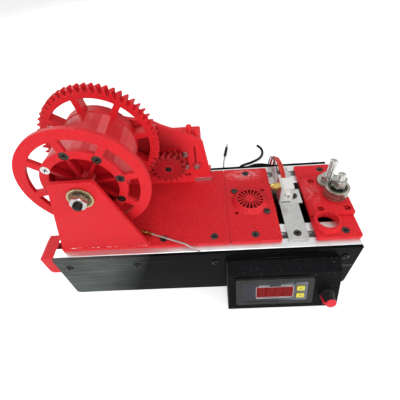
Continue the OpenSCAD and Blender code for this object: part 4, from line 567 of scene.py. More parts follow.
def acrylic_panel(name, colour, streak):
    """Black acrylic sheet: gloss with wipe marks, hair scratches, dust and a painted grey-green
    reflection at the left.
    """
    finish = Finish(name, roughness=0.16, ior=1.09)
    marks = finish.group("Streaks", Stretch=streak, Scale=16.0)
    speckle = finish.group("Speckle", Fine=700.0, Broad=14.0)
    edges = finish.group("Worn Edges", Radius=0.4 * MM)
    finish.start(finish.remap(marks["Lines"], 0.5, 0.8, 0.0, 0.6), darker(colour, 0.5),
                 lighter(colour, 0.004))
    # painted reflection: paler towards the left, slanting with height and broken by wipe lines
    slant = finish.math("SUBTRACT", finish.coordinate("X"),
                        finish.times(finish.coordinate("Z"), REFLECTION_SLANT))
    reflection = finish.times(finish.remap(slant, *(x * MM for x in REFLECTION_EDGE)),
                        finish.remap(marks["Lines"], 0.36, 0.64, 0.55, 1.0))
    finish.lay(reflection, REFLECTION_GREY, finish.remap(speckle["Broad"], 0.3, 0.7, 0.55, 1.0))
    finish.lay(marks["Scratches"], (0.16, 0.16, 0.16), 0.25)
    finish.lay(speckle["Dust"], (0.20, 0.21, 0.21), 0.06)
    finish.lay(edges["Mask"], (0.07, 0.07, 0.07), 0.30)
    wiped = finish.remap(marks["Lines"], 0.35, 0.75, 0.10, 0.34)
    rough = finish.math("ADD", wiped, finish.times(marks["Scratches"], 0.18))
    return finish.done(marks["Lines"], 0.02 * MM, 0.35, rough, edges["Rounded"])


def brushed_metal(name, colour, stretch, scale, roughness, shade, grime, relief=0.02 * MM,
                  metallic=1.0, grooves=(), seal=None):
    """Drawn, brushed or turned metal, with hair lines, darker grime and bright edges.

    grooves are dark lines round an upright part: (height, half width), and seal is a dark ring
    in its top: (centre, inner, outer), all in millimetres."""
    finish = Finish(name, roughness, metallic=metallic)
    lines = finish.group("Streaks", Stretch=stretch, Scale=scale)
    speckle = finish.group("Speckle", Fine=1300.0, Broad=45.0)
    edges = finish.group("Worn Edges", Radius=0.3 * MM)
    finish.start(finish.remap(lines["Lines"], 0.3, 0.7), darker(colour, shade), colour)
    finish.lay(finish.remap(speckle["Broad"], 0.52, 0.75, 0.0, grime), darker(colour, 0.55))
    finish.lay(edges["Mask"], lighter(colour, 0.5), 0.5)
    for height, half in grooves:
        below = finish.math("SUBTRACT", 1.0, finish.above((0, 0, 1), height + half))
        finish.lay(finish.above((0, 0, 1), height - half), darker(colour, 0.88), below)
    if seal is not None:
        (x, y), inner, outer = seal
        flat = vector_node(finish.tree, "MULTIPLY", finish.place, (1.0, 1.0, 0.0))
        reach = vector_node(finish.tree, "DISTANCE", flat, (x * MM, y * MM, 0.0))
        within = finish.remap(reach, outer * MM, (outer - 0.2) * MM)
        finish.lay(finish.remap(reach, inner * MM, (inner + 0.1) * MM), SEAL_GREY, within)
    rough = finish.remap(lines["Lines"], 0.3, 0.7, roughness + 0.10, roughness - 0.06)
    rough = finish.math("ADD", rough, finish.times(lines["Scratches"], -0.08))
    return finish.done(lines["Lines"], relief, 0.5, rough, edges["Rounded"])


def moulded_plastic(name, colour, roughness, grain, depth=0.03 * MM, shine=0.25, ior=1.5,
                    dust=0.12, rub=0.12, tipped=None, glare_along_x=None, specks=0.0):
    """Moulded or cut plastic and rubber, with a fine grain, mottling and rubbed edges.

    tipped gives another colour above a plane: (normal, level, colour). glare_along_x blends to another
    colour along X as painted glare: (from, to, colour). specks are rare larger crumbs."""
    finish = Finish(name, roughness, shine, ior)
    speckle = finish.group("Speckle", Fine=grain, Broad=55.0)
    edges = finish.group("Worn Edges", Radius=0.3 * MM)
    finish.start(finish.remap(speckle["Broad"], 0.3, 0.7), darker(colour, 0.2), lifted(colour, 0.25))
    finish.lay(edges["Mask"], lighter(colour, rub), 0.35)
    # painted glare: blends to another colour along X
    if glare_along_x is not None:
        start, end, far = glare_along_x
        finish.lay(finish.remap(finish.coordinate("X"), start * MM, end * MM), far)
    if specks:
        crumbs = noise_node(finish.tree, finish.place, scale=620.0, detail=2.0, rough=0.6)
        finish.lay(finish.remap(crumbs, 0.73, 0.75, 0.0, specks), (0.55, 0.57, 0.60))
    if tipped is not None:
        normal, level, tip = tipped
        finish.lay(finish.above(normal, level), tip)
    finish.lay(speckle["Dust"], (0.4, 0.4, 0.4), dust)
    rough = finish.remap(speckle["Fine"], 0.3, 0.7, roughness - 0.06, roughness + 0.10)
    return finish.done(speckle["Fine"], depth, 0.6, rough, edges["Rounded"])


def blackened_steel(name, bright_ball=None, tone=0.7, roughness=0.36):
    """Black-oxide screws: dark, oily, rubbed bright along the edges, with painted shade in their
    sockets; one screw may be plain steel.
    """
    finish = Finish(name, roughness, specular=0.3, metallic=0.85)
    speckle = finish.group("Speckle", Fine=1600.0, Broad=260.0)
    edges = finish.group("Worn Edges", Radius=0.25 * MM)
    finish.start(finish.remap(speckle["Broad"], 0.35, 0.65),
                 darker((0.035, 0.028, 0.026), 1 - tone), darker((0.085, 0.068, 0.062), 1 - tone))
    finish.lay(edges["Mask"], (0.38, 0.33, 0.30), 0.75 * tone)
    if bright_ball is not None:
        centre, radius = bright_ball
        finish.lay(finish.spot(centre, (radius,) * 3, 1 - 0.2 / radius), (0.66, 0.66, 0.64))
    # painted shade in the sockets
    finish.lay(finish.group("Hollow Shade")["Mask"], (0.006, 0.005, 0.005))
    rough = finish.remap(speckle["Fine"], 0.3, 0.7, roughness - 0.08, roughness + 0.12)
    return finish.done(speckle["Fine"], 0.02 * MM, 0.5, rough, edges["Rounded"])


def display_glass(name, colour):
    """Tinted window over the digits: glossy, and lit a little from behind."""
    finish = Finish(name, roughness=0.12, specular=0.08)
    speckle = finish.group("Speckle", Fine=2200.0, Broad=120.0)
    finish.start(finish.remap(speckle["Broad"], 0.3, 0.7), darker(colour, 0.25), colour)
    finish.link(finish.base, "Emission Color")
    finish.shader.inputs["Emission Strength"].default_value = 0.05
    rough = finish.remap(speckle["Fine"], 0.3, 0.7, 0.06, 0.18)
    return finish.done(speckle["Fine"], 0.01 * MM, 0.3, rough)


def braided_sleeve(name, colour):
    """Crossing strands of a braided lead, read from the tube's own UV map."""
    finish = Finish(name, roughness=0.62)
    uv = add_node(finish.tree, "UVMap", {}).outputs["UV"]
    along = finish.times(coordinate(finish.tree, uv, "X"), 420.0)
    around = finish.times(coordinate(finish.tree, uv, "Y"), 6.0)
    strands = [finish.math("SINE", finish.times(finish.math(way, along, around), math.tau))
               for way in ("ADD", "SUBTRACT")]
    weave = finish.math("MAXIMUM", *strands)
    speckle = finish.group("Speckle", Fine=1500.0, Broad=200.0)
    finish.start(finish.remap(weave, 0.2, 1.0), darker(colour, 0.55), colour)
    finish.lay(finish.remap(speckle["Broad"], 0.4, 0.7, 0.0, 0.4), lighter(colour, 0.25))
    return finish.done(weave, 0.12 * MM, 0.8)


def clear_filament(name):
    """Pale, slightly milky strand."""
    finish = Finish(name, roughness=0.18)
    speckle = finish.group("Speckle", Fine=900.0, Broad=150.0)
    finish.start(finish.remap(speckle["Broad"], 0.3, 0.7), (0.56, 0.46, 0.46), (0.80, 0.72, 0.72))
    finish.shader.inputs["Transmission Weight"].default_value = 0.55
    return finish.done(speckle["Broad"], 0.04 * MM, 0.4)


def circuit_board(name):
    """Green board lacquer with paler tracks."""
    finish = Finish(name, roughness=0.3)
    cells = add_node(finish.tree, "TexVoronoi", {"Scale": 420.0, "Vector": finish.place},
                     distance="MANHATTAN").outputs["Distance"]
    finish.start(finish.remap(cells, 0.35, 0.45), (0.03, 0.20, 0.07), (0.10, 0.34, 0.14))
    return finish.done(cells, 0.05 * MM, 0.5)


# The finishes

DUST_ON_RED = (0.62, 0.50, 0.50)
CHIP_WHITE = (0.85, 0.72, 0.70)
# pale pink of the painted glare
GLARE_PINK = (0.84, 0.48, 0.50)
# grey-green of the painted reflection on the acrylic
REFLECTION_GREY = (0.128, 0.148, 0.141)
SEAL_GREY = (0.085, 0.085, 0.062)
KNOB_RED = (0.62, 0.020, 0.034)

# How the printed parts lay in the printer, with the gloss and the grain of each kind
PLATE = dict(layers=(0.7, 0.7, 0), ridge=0.8 * MM, grain=800.0, grain_depth=0.06 * MM)
BRACKET = dict(layers=(0.7, 0, 0.7), ridge=0.8 * MM, gloss=0.46, grain=1500.0, grain_depth=0.08 * MM)
WHEEL = dict(layers=(0, 1, 0), gloss=0.40, grain=1700.0)

# Each metal: its material's name, colour, stretch, scale, roughness, shade and grime
METALS = {
    "rail": ("Anodised Rail", (0.77, 0.77, 0.77), (1, 60, 60), 40.0, 0.38, 0.18, 0.30),
    "cross_rail": ("Anodised Cross Rail", (0.76, 0.77, 0.78), (60, 1, 60), 40.0, 0.38, 0.14, 0.12),
    "sheet": ("Brushed Aluminium", (0.66, 0.67, 0.65), (30, 1.5, 30), 60.0, 0.36, 0.30, 0.35),
    "bar": ("Cross Brushed Bar", (0.58, 0.58, 0.57), (4, 26, 26), 60.0, 0.34, 0.34, 0.30),
    "block": ("Milled Block", (0.80, 0.78, 0.75), (20, 20, 2), 90.0, 0.42, 0.25, 0.25),
    "zinc": ("Zinc Plate", (0.53, 0.52, 0.51), (12, 12, 12), 90.0, 0.26, 0.22, 0.30),
    "bearing": ("Bearing Steel", (0.46, 0.44, 0.38), (14, 14, 14), 120.0, 0.30, 0.30, 0.35),
    "shield": ("Bearing Outer Ring", (0.52, 0.42, 0.24), (10, 10, 10), 150.0, 0.22, 0.35, 0.45),
    "ring": ("Cutter Ring Steel", (0.50, 0.48, 0.41), (14, 14, 14), 120.0, 0.20, 0.40, 0.40),
    "brass": ("Turned Brass", (0.66, 0.46, 0.13), (30, 3, 3), 120.0, 0.24, 0.35, 0.45),
    "can": ("Motor Can", (0.42, 0.42, 0.42), (2, 40, 40), 80.0, 0.34, 0.25, 0.3),
    "tip_steel": ("Probe Tip Steel", (0.50, 0.50, 0.50), (14, 14, 14), 150.0, 0.24, 0.4, 0.5),
    "stud_steel": ("Stud Steel", (0.46, 0.46, 0.43), (12, 12, 3), 110.0, 0.24, 0.40, 0.45),
    "shield_plate": ("Shield Plate", (0.16, 0.11, 0.06), (8, 8, 8), 160.0, 0.28, 0.3, 0.45),
}
METAL_EXTRAS = {
    "sheet": dict(relief=0.05 * MM),
    "bar": dict(relief=0.05 * MM),
    "bearing": dict(metallic=0.75),
    "ring": dict(metallic=0.85, grooves=((84.2, 0.5), (90.0, 0.45), (87.2, 0.2)),
                 seal=(FRONT_POST, 6.5, 10.1)),
}
# Each plastic: its material's name, colour, roughness and grain
PLASTICS = {
    "dark_socket": ("Dark Socket", (0.010, 0.009, 0.009), 0.30, 1500.0),
    "digit": ("Digit Red", (0.20, 0.006, 0.006), 0.25, 1500.0),
    "pale_ink": ("Pale Ink", (0.60, 0.60, 0.60), 0.5, 1500.0),
    "rim_ink": ("Rim Ink", (0.50, 0.34, 0.35), 0.5, 1500.0),
    "key_ink": ("Key Ink", (0.18, 0.10, 0.01), 0.5, 1500.0),
    "lamp": ("Dark Lamp", (0.010, 0.010, 0.010), 0.18, 1500.0),
    "knob_red": ("Knob Red", KNOB_RED, 0.40, 1500.0),
    "dark_wire": ("Dark Wire Jacket", (0.05, 0.045, 0.045), 0.45, 1200.0),
    "console": ("Console Plastic", (0.0045, 0.0043, 0.0052), 0.34, 700.0),
    "bezel": ("Bezel Plastic", (0.030, 0.031, 0.029), 0.42, 1400.0),
    "face": ("Face Foil", (0.034, 0.036, 0.044), 0.40, 1600.0),
    "knob": ("Knob Plastic", (0.014, 0.014, 0.015), 0.42, 1500.0),
    "fan": ("Fan Plastic", (0.010, 0.010, 0.011), 0.5, 1400.0),
    "rubber": ("Black Rubber", (0.012, 0.012, 0.012), 0.55, 1300.0),
    "lead": ("Lead Jacket", (0.006, 0.006, 0.007), 0.36, 1200.0),
    "red_wire": ("Red Wire Jacket", (0.60, 0.035, 0.025), 0.42, 1000.0),
    "shrink": ("Shrink Sleeve", (0.008, 0.008, 0.008), 0.36, 700.0),
}
PLASTIC_EXTRAS = {
    "console": dict(depth=0.10 * MM, shine=0.5, ior=1.12, dust=0.40, rub=0.30, specks=0.5,
                    tipped=((-1, 0, 0), CONSOLE_LEFT, (0.05, 0.05, 0.05))),
    "bezel": dict(shine=0.12, rub=0.45),
    # painted glare towards the right of the controller's face
    "face": dict(shine=0.12, glare_along_x=(*FACE_GLARE_SPAN, (0.135, 0.150, 0.170))),
    "knob": dict(tipped=(KNOB_NORMAL, KNOB_RED_LEVEL, KNOB_RED)),
    "lead": dict(depth=0.02 * MM, dust=0.04, ior=1.16),
    "red_wire": dict(depth=0.05 * MM),
    "shrink": dict(depth=0.06 * MM, dust=0.06, ior=1.2),
}

FINISHES = {}


def make_finishes():
    red = tuple(colours().red_print)
    black = tuple(colours().black_panel)
    FINISHES.update({
        "red_front": printed_plastic("Red Front Bracket Print", red, chipped_below=FRONT_BRACKET_FOOT,
                                     **BRACKET),
        "red_plate": printed_plastic("Red Plate Print", red, gloss=0.44, grain_mix=0.7, **PLATE),
        # the fan plate carries a patch of painted glare at its back and painted shade in its holes
        "red_fan_plate": printed_plastic("Red Fan Plate Print", red, gloss=0.40, grain_mix=0.7,
                                         glares=((*FAN_PLATE_GLARE, 0.75),), shaded=0.9, **PLATE),
        # a slightly brighter copy of the red, painted light, with painted glare on the pad and painted
        # shade in the holes
        "red_cutter_plate_lit": printed_plastic(
            "Red Cutter Plate Print With Painted Light", lifted(red, 0.04), gloss=0.38, grain_mix=0.6,
            glares=((*CUTTER_PLATE_GLARE, 0.30),), shaded=0.6, **dict(PLATE, grain=900.0)),
        # a brighter copy of the red, painted light that makes up for the shade on the rear bracket, with
        # painted shade round the gears and in the holes
        "red_rear_lit": printed_plastic("Red Rear Bracket Print With Painted Light", lighter(lifted(red, 0.12), 0.008),
                                    painted_shade=GEAR_SHADE, shaded=0.8, **BRACKET),
        "red_wheel": printed_plastic("Red Wheel Print", red, **WHEEL),
        # a darker copy of the red, painted shade, with pale tooth edges that are painted highlights as
        # well as wear
        "red_pinion_shaded": printed_plastic("Red Pinion Print In Painted Shade", darker(red, 0.46), wear=0.8,
                                      **dict(WHEEL, gloss=0.30)),
        # red on the gearbox seen through the bracket's window: a painted reflection of the red parts
        # round it, brightened as painted light against the shade there
        "red_gearbox_reflection": printed_plastic("Red Gearbox Painted Reflection", lifted(red, 0.50), **WHEEL),
        # painted highlights on the drum's flats and painted shade on its ends and inner walls
        "red_drum": printed_plastic("Red Drum Print", darker(red, 0.10), grain_depth=0.02 * MM,
                                    ior=1.28, sheen_stretch=(75, 1.5, 75), **dict(WHEEL, gloss=0.34)),
        "red_block": printed_plastic("Red Block Print", red),
        # the acrylic panels carry a painted reflection towards the left
        "acrylic": acrylic_panel("Black Acrylic", black, streak=(1.0, 30.0, 30.0)),
        "acrylic_end": acrylic_panel("Black End Acrylic", black, streak=(30.0, 1.0, 30.0)),
        "black_screw": blackened_steel("Black Screws", tone=0.9),
        "panel_screw": blackened_steel("Panel Screws", tone=0.35, roughness=0.24),
        "flange_screw": blackened_steel("Flange Screws", SILVER_FLANGE_SCREW, tone=0.9),
        "hot_screw": blackened_steel("Hot End Screws", SILVER_HOT_SCREW),
        "black_thread": blackened_steel("Black Thread", tone=0.25, roughness=0.22),
        "key": moulded_plastic("Yellow Keys", tuple(colours().yellow_key), 0.40, 1600.0),
        "display": display_glass("Display Window", tuple(colours().display_red)),
        "board": circuit_board("Speed Board"),
        "braid": braided_sleeve("Grey Braid", (0.46, 0.47, 0.46)),
        "filament": clear_filament("Clear Filament"),
    })
    for finish, look in METALS.items():
        FINISHES[finish] = brushed_metal(*look, **METAL_EXTRAS.get(finish, {}))
    for finish, look in PLASTICS.items():
        FINISHES[finish] = moulded_plastic(*look, **PLASTIC_EXTRAS.get(finish, {}))


NODE_FINISH = {
    "front_rail": "rail", "rear_rail": "rail", "cross_rails": "cross_rail", "rail_end_caps": "red_block",
    "front_panel": "acrylic", "rear_panel": "acrylic", "end_panels": "acrylic_end",
    "bottom_plate": "acrylic", "panel_screws": "panel_screw", "slot_nuts": "zinc",
    "base_plate": "red_plate", "fan_plate": "red_fan_plate", "cutter_plate": "red_cutter_plate_lit",
    "plate_screws": "black_screw", "front_bracket": "red_front", "rear_bracket": "red_rear_lit",
    "packing_strip": "sheet", "bracket_bolts": "zinc", "bearing_outer_rings": "shield",
    "motor_gearbox": "red_gearbox_reflection", "motor_can": "can", "motor_cover": "red_rear_lit",
    "motor_screws": "zinc", "cross_bar": "bar", "heater_angle": "sheet", "heater_block": "block",
    "nozzle": "brass", "heater_cartridge": "zinc", "hot_end_screws": "hot_screw",
    "heater_leads": "red_wire", "thermistor_lead": "lead", "cutter_bolts": "zinc",
    "cutter_bushes": "bearing", "rear_cutter_ring": "bearing", "front_cutter_ring": "ring",
    "fan_frame": "fan", "fan_rotor": "fan", "fan_screws": "black_screw", "console_box": "console",
    "controller_case": "bezel", "controller_face": "face", "display_window": "display",
    "upper_button": "key", "lower_button": "key", "speed_controller": "board",
    "speed_knob": "knob", "lead_grommets": "rubber", "supply_lead": "lead",
    "sensor_lead": "braid", "sensor_sleeve": "shrink", "strand_guide": "brass",
    "filament_end": "filament", "axle": "zinc", "axle_nuts": "zinc",
    "bearing_inner_rings": "bearing", "front_flange": "red_wheel", "spool_drum": "red_drum",
    "spool_gear": "red_wheel", "flange_screws": "flange_screw", "pinion": "red_pinion_shaded",
}


# Mesh helpers

def add_piece(bm, name, finish, body, smooth=40):
    """Make an object of the bmesh, dress it and hang it on its body."""
    bmesh.ops.recalc_face_normals(bm, faces=bm.faces)
    mesh = bpy.data.meshes.new(name)
    bm.to_mesh(mesh)
    bm.free()
    piece = bpy.data.objects.new(name, mesh)
    bpy.context.scene.collection.objects.link(piece)
    mesh.materials.append(FINISHES[finish])
    for face in mesh.polygons:
        face.use_smooth = True
    mesh.set_sharp_from_angle(angle=math.radians(smooth))
    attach(piece, body)
    return piece


def made_since(bm, before):
    return [v for v in bm.verts if v not in before]


def move(bm, matrix, verts):
    bmesh.ops.transform(bm, matrix=matrix, verts=verts)


def at(x, y, z):
    """Matrix that moves to a place in millimetres."""
    return Matrix.Translation(Vector((x, y, z)) * MM)


def thicken(bm, faces, height):
    """Extrude flat faces up local Z, by a height in millimetres."""
    grown = bmesh.ops.extrude_face_region(bm, geom=faces)["geom"]
    bmesh.ops.translate(bm, vec=(0, 0, height * MM),
                        verts=[g for g in grown if isinstance(g, bmesh.types.BMVert)])


def edges_of(verts):
    """The edges at these vertices, each once and in a fixed order."""
    return list(dict.fromkeys(e for v in verts for e in v.link_edges))


def faces_of(verts):
    return list(dict.fromkeys(f for v in verts for f in v.link_faces))


def smooth_path(points, steps=6):
    """Points of a smooth curve through the route's points, in metres."""
    found = []
    knots = [Vector(p) * MM for p in points]
    for i in range(len(knots) - 1):
        a = knots[max(i - 1, 0)]
        b, c = knots[i], knots[i + 1]
        d = knots[min(i + 2, len(knots) - 1)]
        for k in range(steps):
            u = k / steps
            found.append(0.5 * (2 * b + (c - a) * u + (2 * a - 5 * b + 4 * c - d) * u ** 2
                                + (3 * b - a - 3 * c + d) * u ** 3))
    found.append(knots[-1])
    return found


def laid(path, radius):
    """The path kept a radius above the table."""
    return [Vector((p.x, p.y, max(p.z, radius))) for p in path]


def path_length(path):
    return sum((b - a).length for a, b in zip(path, path[1:]))


def first_side(tangent):
    """A direction square to the one in which the path starts."""
    side = tangent.cross(Vector((0, 0, 1)))
    if side.length < 0.1:
        side = tangent.cross(Vector((0, 1, 0)))
    return side.normalized()


def add_tube(name, path, radius, sides, finish, body):
    """Tube along a path: a circle carried from point to point without twist, with its own UV map."""
    bm = bmesh.new()
    layer = bm.loops.layers.uv.new("UVMap")
    total = path_length(path)
    side = first_side((path[1] - path[0]).normalized())
    before, run = None, 0.0
    for i, point in enumerate(path):
        ahead = path[min(i + 1, len(path) - 1)] - path[max(i - 1, 0)]
        tangent = ahead.normalized()
        side = (side - tangent * side.dot(tangent)).normalized()
        turn = Matrix((side, tangent.cross(side), tangent)).transposed().to_4x4()
        ring = bmesh.ops.create_circle(bm, cap_ends=i in (0, len(path) - 1), segments=sides,
                                       radius=radius, matrix=Matrix.Translation(point) @ turn)["verts"]
        ring = ring[:sides]
        if before is not None:
            run_next = run + (point - path[i - 1]).length
            for k in range(sides):
                n = (k + 1) % sides
                face = bm.faces.new((before[k], before[n], ring[n], ring[k]))
                spots = ((run, k), (run, k + 1), (run_next, k + 1), (run_next, k))
                for loop, (u, v) in zip(face.loops, spots):
                    loop[layer].uv = (u / total, v / sides)
            run = run_next
        before = ring
    bmesh.ops.remove_doubles(bm, verts=bm.verts, dist=1e-7)
    return add_piece(bm, name, finish, body, smooth=60)


# Routes, in millimetres

SUPPLY_ROUTE = [
    (40, 77, 20), (40, 83, 20), (40.5, 90, 16.5), (42, 97, 10), (44.5, 104, 5), (48, 112, 1.9),
    (53, 122, 1.9), (61, 132, 1.9), (72, 139, 1.9), (84, 143, 1.9), (97, 142, 1.9), (109, 137, 1.9),
    (118, 127, 1.9), (122, 114, 1.9), (120, 100, 1.9), (112, 88, 1.9), (100, 80, 1.9), (87, 77, 1.9),
    (74, 80, 1.9), (64, 88, 1.9), (58, 99, 3.5), (55, 111, 6.2), (54.5, 123, 8.4), (57.5, 134, 7.4),
    (65, 142, 4.4), (76, 149, 1.9), (88, 156, 1.9), (95, 164, 1.9), (98, 173, 1.9), (98, 182, 1.9),
    (95, 189, 1.9), (92, 193, 1.9)]
SENSOR_ROUTE = [
    (28, 69, 20), (28, 73, 20), (28.2, 79, 18), (28.4, 85, 13), (28.6, 91, 7), (28.8, 98, 2.5),
    (29, 105, 1), (29.6, 120, 1), (30.6, 138, 1), (32, 154, 1), (33.2, 161, 1.2), (34.4, 167, 1.5),
    (34.8, 169, 1.5)]
HEATER_ROUTE_A = [
    (90.05, 10.4, 82.4), (90.05, 14.4, 82.4), (89.2, 21, 86.5), (88.2, 30, 91.8), (87.2, 41, 93.4),
    (86.6, 51, 90.8), (86.5, 59, 85.4), (86.6, 65, 76), (86.6, 68, 64), (86.6, 68, 48), (86.6, 66, 39),
    (86.6, 60.5, 34), (86.5, 50, 32.5), (84.5, 10, 31), (80, -25, 26), (73.7, -55.4134, 20.121),
    (73.7, -62.9309, 22.8572)]
HEATER_ROUTE_B = [
    (93.05, 10.4, 82.4), (93.05, 14.4, 82.4), (92.6, 21, 84.6), (91.9, 30, 89.4), (91, 41, 91),
    (90.4, 51, 88.8), (90.3, 59, 83.9), (90.4, 65, 75.2), (90.4, 68, 64), (90.4, 68, 48), (90.4, 66, 39),
    (90.4, 60.5, 34), (90.3, 50, 32.5), (88.5, 10, 31), (84, -25, 26), (77.7, -55.4134, 20.121),
    (77.7, -62.9309, 22.8572)]
THERMISTOR_ROUTE = [
    (86.3, 10.4, 84.4), (86.3, 13.4, 84.4), (85.6, 21, 88.5), (84.4, 30, 93.5), (83.6, 41, 95),
    (83.4, 51, 91.6), (83.6, 59, 86), (83.8, 65, 76.4), (84, 67.6, 64), (84, 67.6, 48), (84, 66.2, 38),
    (84, 60.5, 33.5), (83.8, 50, 32.5), (81.5, 10, 31), (76.5, -25, 26.5), (69.7, -56.6087, 22.6845),
    (69.7, -62.2469, 24.7366)]
FILAMENT_ROUTE = [
    (-57, -38.7, 76.2), (-52, -40.6, 76.2), (-41, -44.8, 76.1), (-30, -49, 75.5), (-19, -53.3, 75),
    (-13, -56, 73), (-8, -58.3, 71.5), (-4, -60.4, 71)]


# Shapes, along local Z

def on_console(x, down):
    """Matrix of the sloping console face: X along it, Y up it, Z out of it."""
    lip_y, lip_z = CONSOLE_LIP
    place = at(x, lip_y - down * math.sin(CONSOLE_TILT), lip_z - down * math.cos(CONSOLE_TILT))
    return place @ Matrix.Rotation(math.pi / 2 - CONSOLE_TILT, 4, "X")


def along_axle(y, forward):
    """Matrix on the axle's line: local Z points to the front or to the back."""
    x, z = AXLE
    return at(x, y, z) @ Matrix.Rotation(math.pi / 2 if forward else -math.pi / 2, 4, "X")


def spin_profile(bm, matrix, profile, steps):
    """Turn a profile of (radius, height) points round local Z; sizes in millimetres."""
    before = set(bm.verts)
    verts = [bm.verts.new(Vector((r, 0, z)) * MM) for r, z in profile]
    edges = [bm.edges.new(pair) for pair in zip(verts, verts[1:])]
    bmesh.ops.spin(bm, geom=verts + edges, cent=(0, 0, 0), axis=(0, 0, 1), dvec=(0, 0, 0),
                   angle=math.tau, steps=steps, use_merge=True)
    bmesh.ops.remove_doubles(bm, verts=made_since(bm, before), dist=1e-6)
    move(bm, matrix, made_since(bm, before))


def threaded_rod(bm, matrix, length, crown, thread_from, steps=16):
    """Rod with a helical thread from one height to its crowned tip; sizes in millimetres."""
    before = set(bm.verts)
    pitch = sizes().thread_pitch / MM
    core = BOLT_RADIUS - sizes().thread_depth / MM * THREAD_SINK
    tip = [(core, length - crown), (core - crown * 0.35, length - crown * 0.3), (core - crown, length)]
    spin_profile(bm, Matrix.Identity(4), [(0, 0), (core, 0), *tip, (0, length)], 32)
    turns = (length - crown * 0.8 - thread_from) / pitch
    root = core - THREAD_ROOT
    ridge = zip((root, BOLT_RADIUS, BOLT_RADIUS, root), THREAD_RIDGE)
    verts = [bm.verts.new(Vector((r, 0, thread_from + share * pitch)) * MM) for r, share in ridge]
    edges = [bm.edges.new(pair) for pair in zip(verts, verts[1:])]
    bmesh.ops.spin(bm, geom=verts + edges, cent=(0, 0, 0), axis=(0, 0, 1),
                   dvec=(0, 0, pitch * MM / steps), angle=math.tau * turns, steps=round(turns * steps))
    move(bm, matrix, made_since(bm, before))


def hex_nut(bm, matrix, flats, height):
    """Solid hexagonal nut whose corners are chamfered on both faces; sizes in millimetres."""
    before = set(bm.verts)
    apothem = flats / 2 * MM
    bmesh.ops.create_circle(bm, cap_ends=True, segments=6, radius=apothem / math.cos(math.pi / 6),
                            matrix=Matrix.Rotation(math.pi / 6, 4, "Z"))
    thicken(bm, faces_of(made_since(bm, before)), height)
    lean = math.radians(NUT_CHAMFER)
    corners = [math.degrees(math.atan2(v.co.y, v.co.x)) for v in made_since(bm, before)
               if v.co.z > 0.5 * height * MM]
    for level, sign in ((height * MM, 1), (0, -1)):
        for turn in (math.radians(c + extra) for c in corners for extra in NUT_CUTS):
            out = Vector((math.cos(turn), math.sin(turn), 0))
            fresh = made_since(bm, before)
            cut = bmesh.ops.bisect_plane(
                bm, geom=fresh + edges_of(fresh) + faces_of(fresh), dist=1e-7,
                plane_co=out * apothem * NUT_CUT_REACH + Vector((0, 0, level)),
                plane_no=out * math.sin(lean) + Vector((0, 0, sign * math.cos(lean))),
                clear_outer=True)["geom_cut"]
            rim = [g for g in cut if isinstance(g, bmesh.types.BMEdge)]
            if len(rim) > 2:
                bmesh.ops.edgeloop_fill(bm, edges=rim)
    move(bm, matrix, made_since(bm, before))


def bevelled_block(bm, matrix, width, height, depth, bevel):
    """Block with softened edges, standing on local Z; sizes in millimetres."""
    before = set(bm.verts)
    cube = bmesh.ops.create_cube(bm, size=1.0)["verts"]
    bmesh.ops.scale(bm, vec=(width * MM, height * MM, depth * MM), verts=cube)
    bmesh.ops.translate(bm, vec=(0, 0, depth / 2 * MM), verts=cube)
    bmesh.ops.bevel(bm, geom=edges_of(cube), offset=bevel * MM, affect="EDGES", segments=2,
                    profile=0.5, material=-1)
    move(bm, matrix, made_since(bm, before))


# Operators

class EXTRUDER_OT_finishes(bpy.types.Operator):
    """Give every carried-over solid its finish"""
    bl_idname = "extruder.finishes"
    bl_label = "Finishes"

    def execute(self, context):
        make_finishes()
        for name, finish in NODE_FINISH.items():
            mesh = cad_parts[name].data
            mesh.materials.clear()
            mesh.materials.append(FINISHES[finish])
        return {"FINISHED"}


class EXTRUDER_OT_free_leads(bpy.types.Operator):
    """Lay the supply lead and the sensor lead behind the machine"""
    bl_idname = "extruder.free_leads"
    bl_label = "Free leads"

    def execute(self, context):
        width = sizes().supply_width
        supply = laid(smooth_path(SUPPLY_ROUTE), width / 2)
        piece = add_tube("supply_cord", supply, width / 2, 16, "lead", FRAME_BODY)
        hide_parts("supply_lead")
        width = sizes().sensor_width
        sensor = laid(smooth_path(SENSOR_ROUTE), width / 2)
        probe = self.add_probe(sensor[-1], Vector(SENSOR_ROUTE[-1]) - Vector(SENSOR_ROUTE[-2]))
        piece = add_tube("sensor_cord", sensor, width / 2, 12, "braid", FRAME_BODY)
        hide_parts("sensor_lead")
        return {"FINISHED"}

    def add_probe(self, end, way):
        """Black sleeve and metal tip that lie on the table at the sensor lead's end."""
        turn = Vector((way.x, way.y, 0)).to_track_quat("Z", "Y").to_matrix().to_4x4()
        place = Matrix.Translation((end.x, end.y, PROBE_RADIUS * MM)) @ turn
        pieces = []
        for name, finish, outline in (("probe_sleeve", "shrink", SLEEVE_OUTLINE),
                                      ("probe_tip", "tip_steel", TIP_OUTLINE)):
            bm = bmesh.new()
            spin_profile(bm, place, outline, 24)
            pieces.append(add_piece(bm, name, finish, FRAME_BODY))
            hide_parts("sensor_sleeve")
        return pieces


class EXTRUDER_OT_heater_leads(bpy.types.Operator):
    """Draw the heater's two red leads and the thin temperature lead from the block to the controller"""
    bl_idname = "extruder.heater_leads"
    bl_label = "Heater leads"

    def execute(self, context):
        thick, thin = sizes().heater_width, sizes().thermistor_width
        leads = [
            ("heater_wire_a", HEATER_ROUTE_A, thick, "red_wire", "lead_red", "heater_leads"),
            ("heater_wire_b", HEATER_ROUTE_B, thick, "red_wire", "lead_red", "heater_leads"),
            ("thermistor_wire", THERMISTOR_ROUTE, thin, "dark_wire", "lead_black", "thermistor_lead"),
        ]
        for name, route, width, finish, slot, node in leads:
            path = smooth_path(route)
            piece = add_tube(name, path, width / 2, 14, finish, FRAME_BODY)
            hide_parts(node)
        return {"FINISHED"}


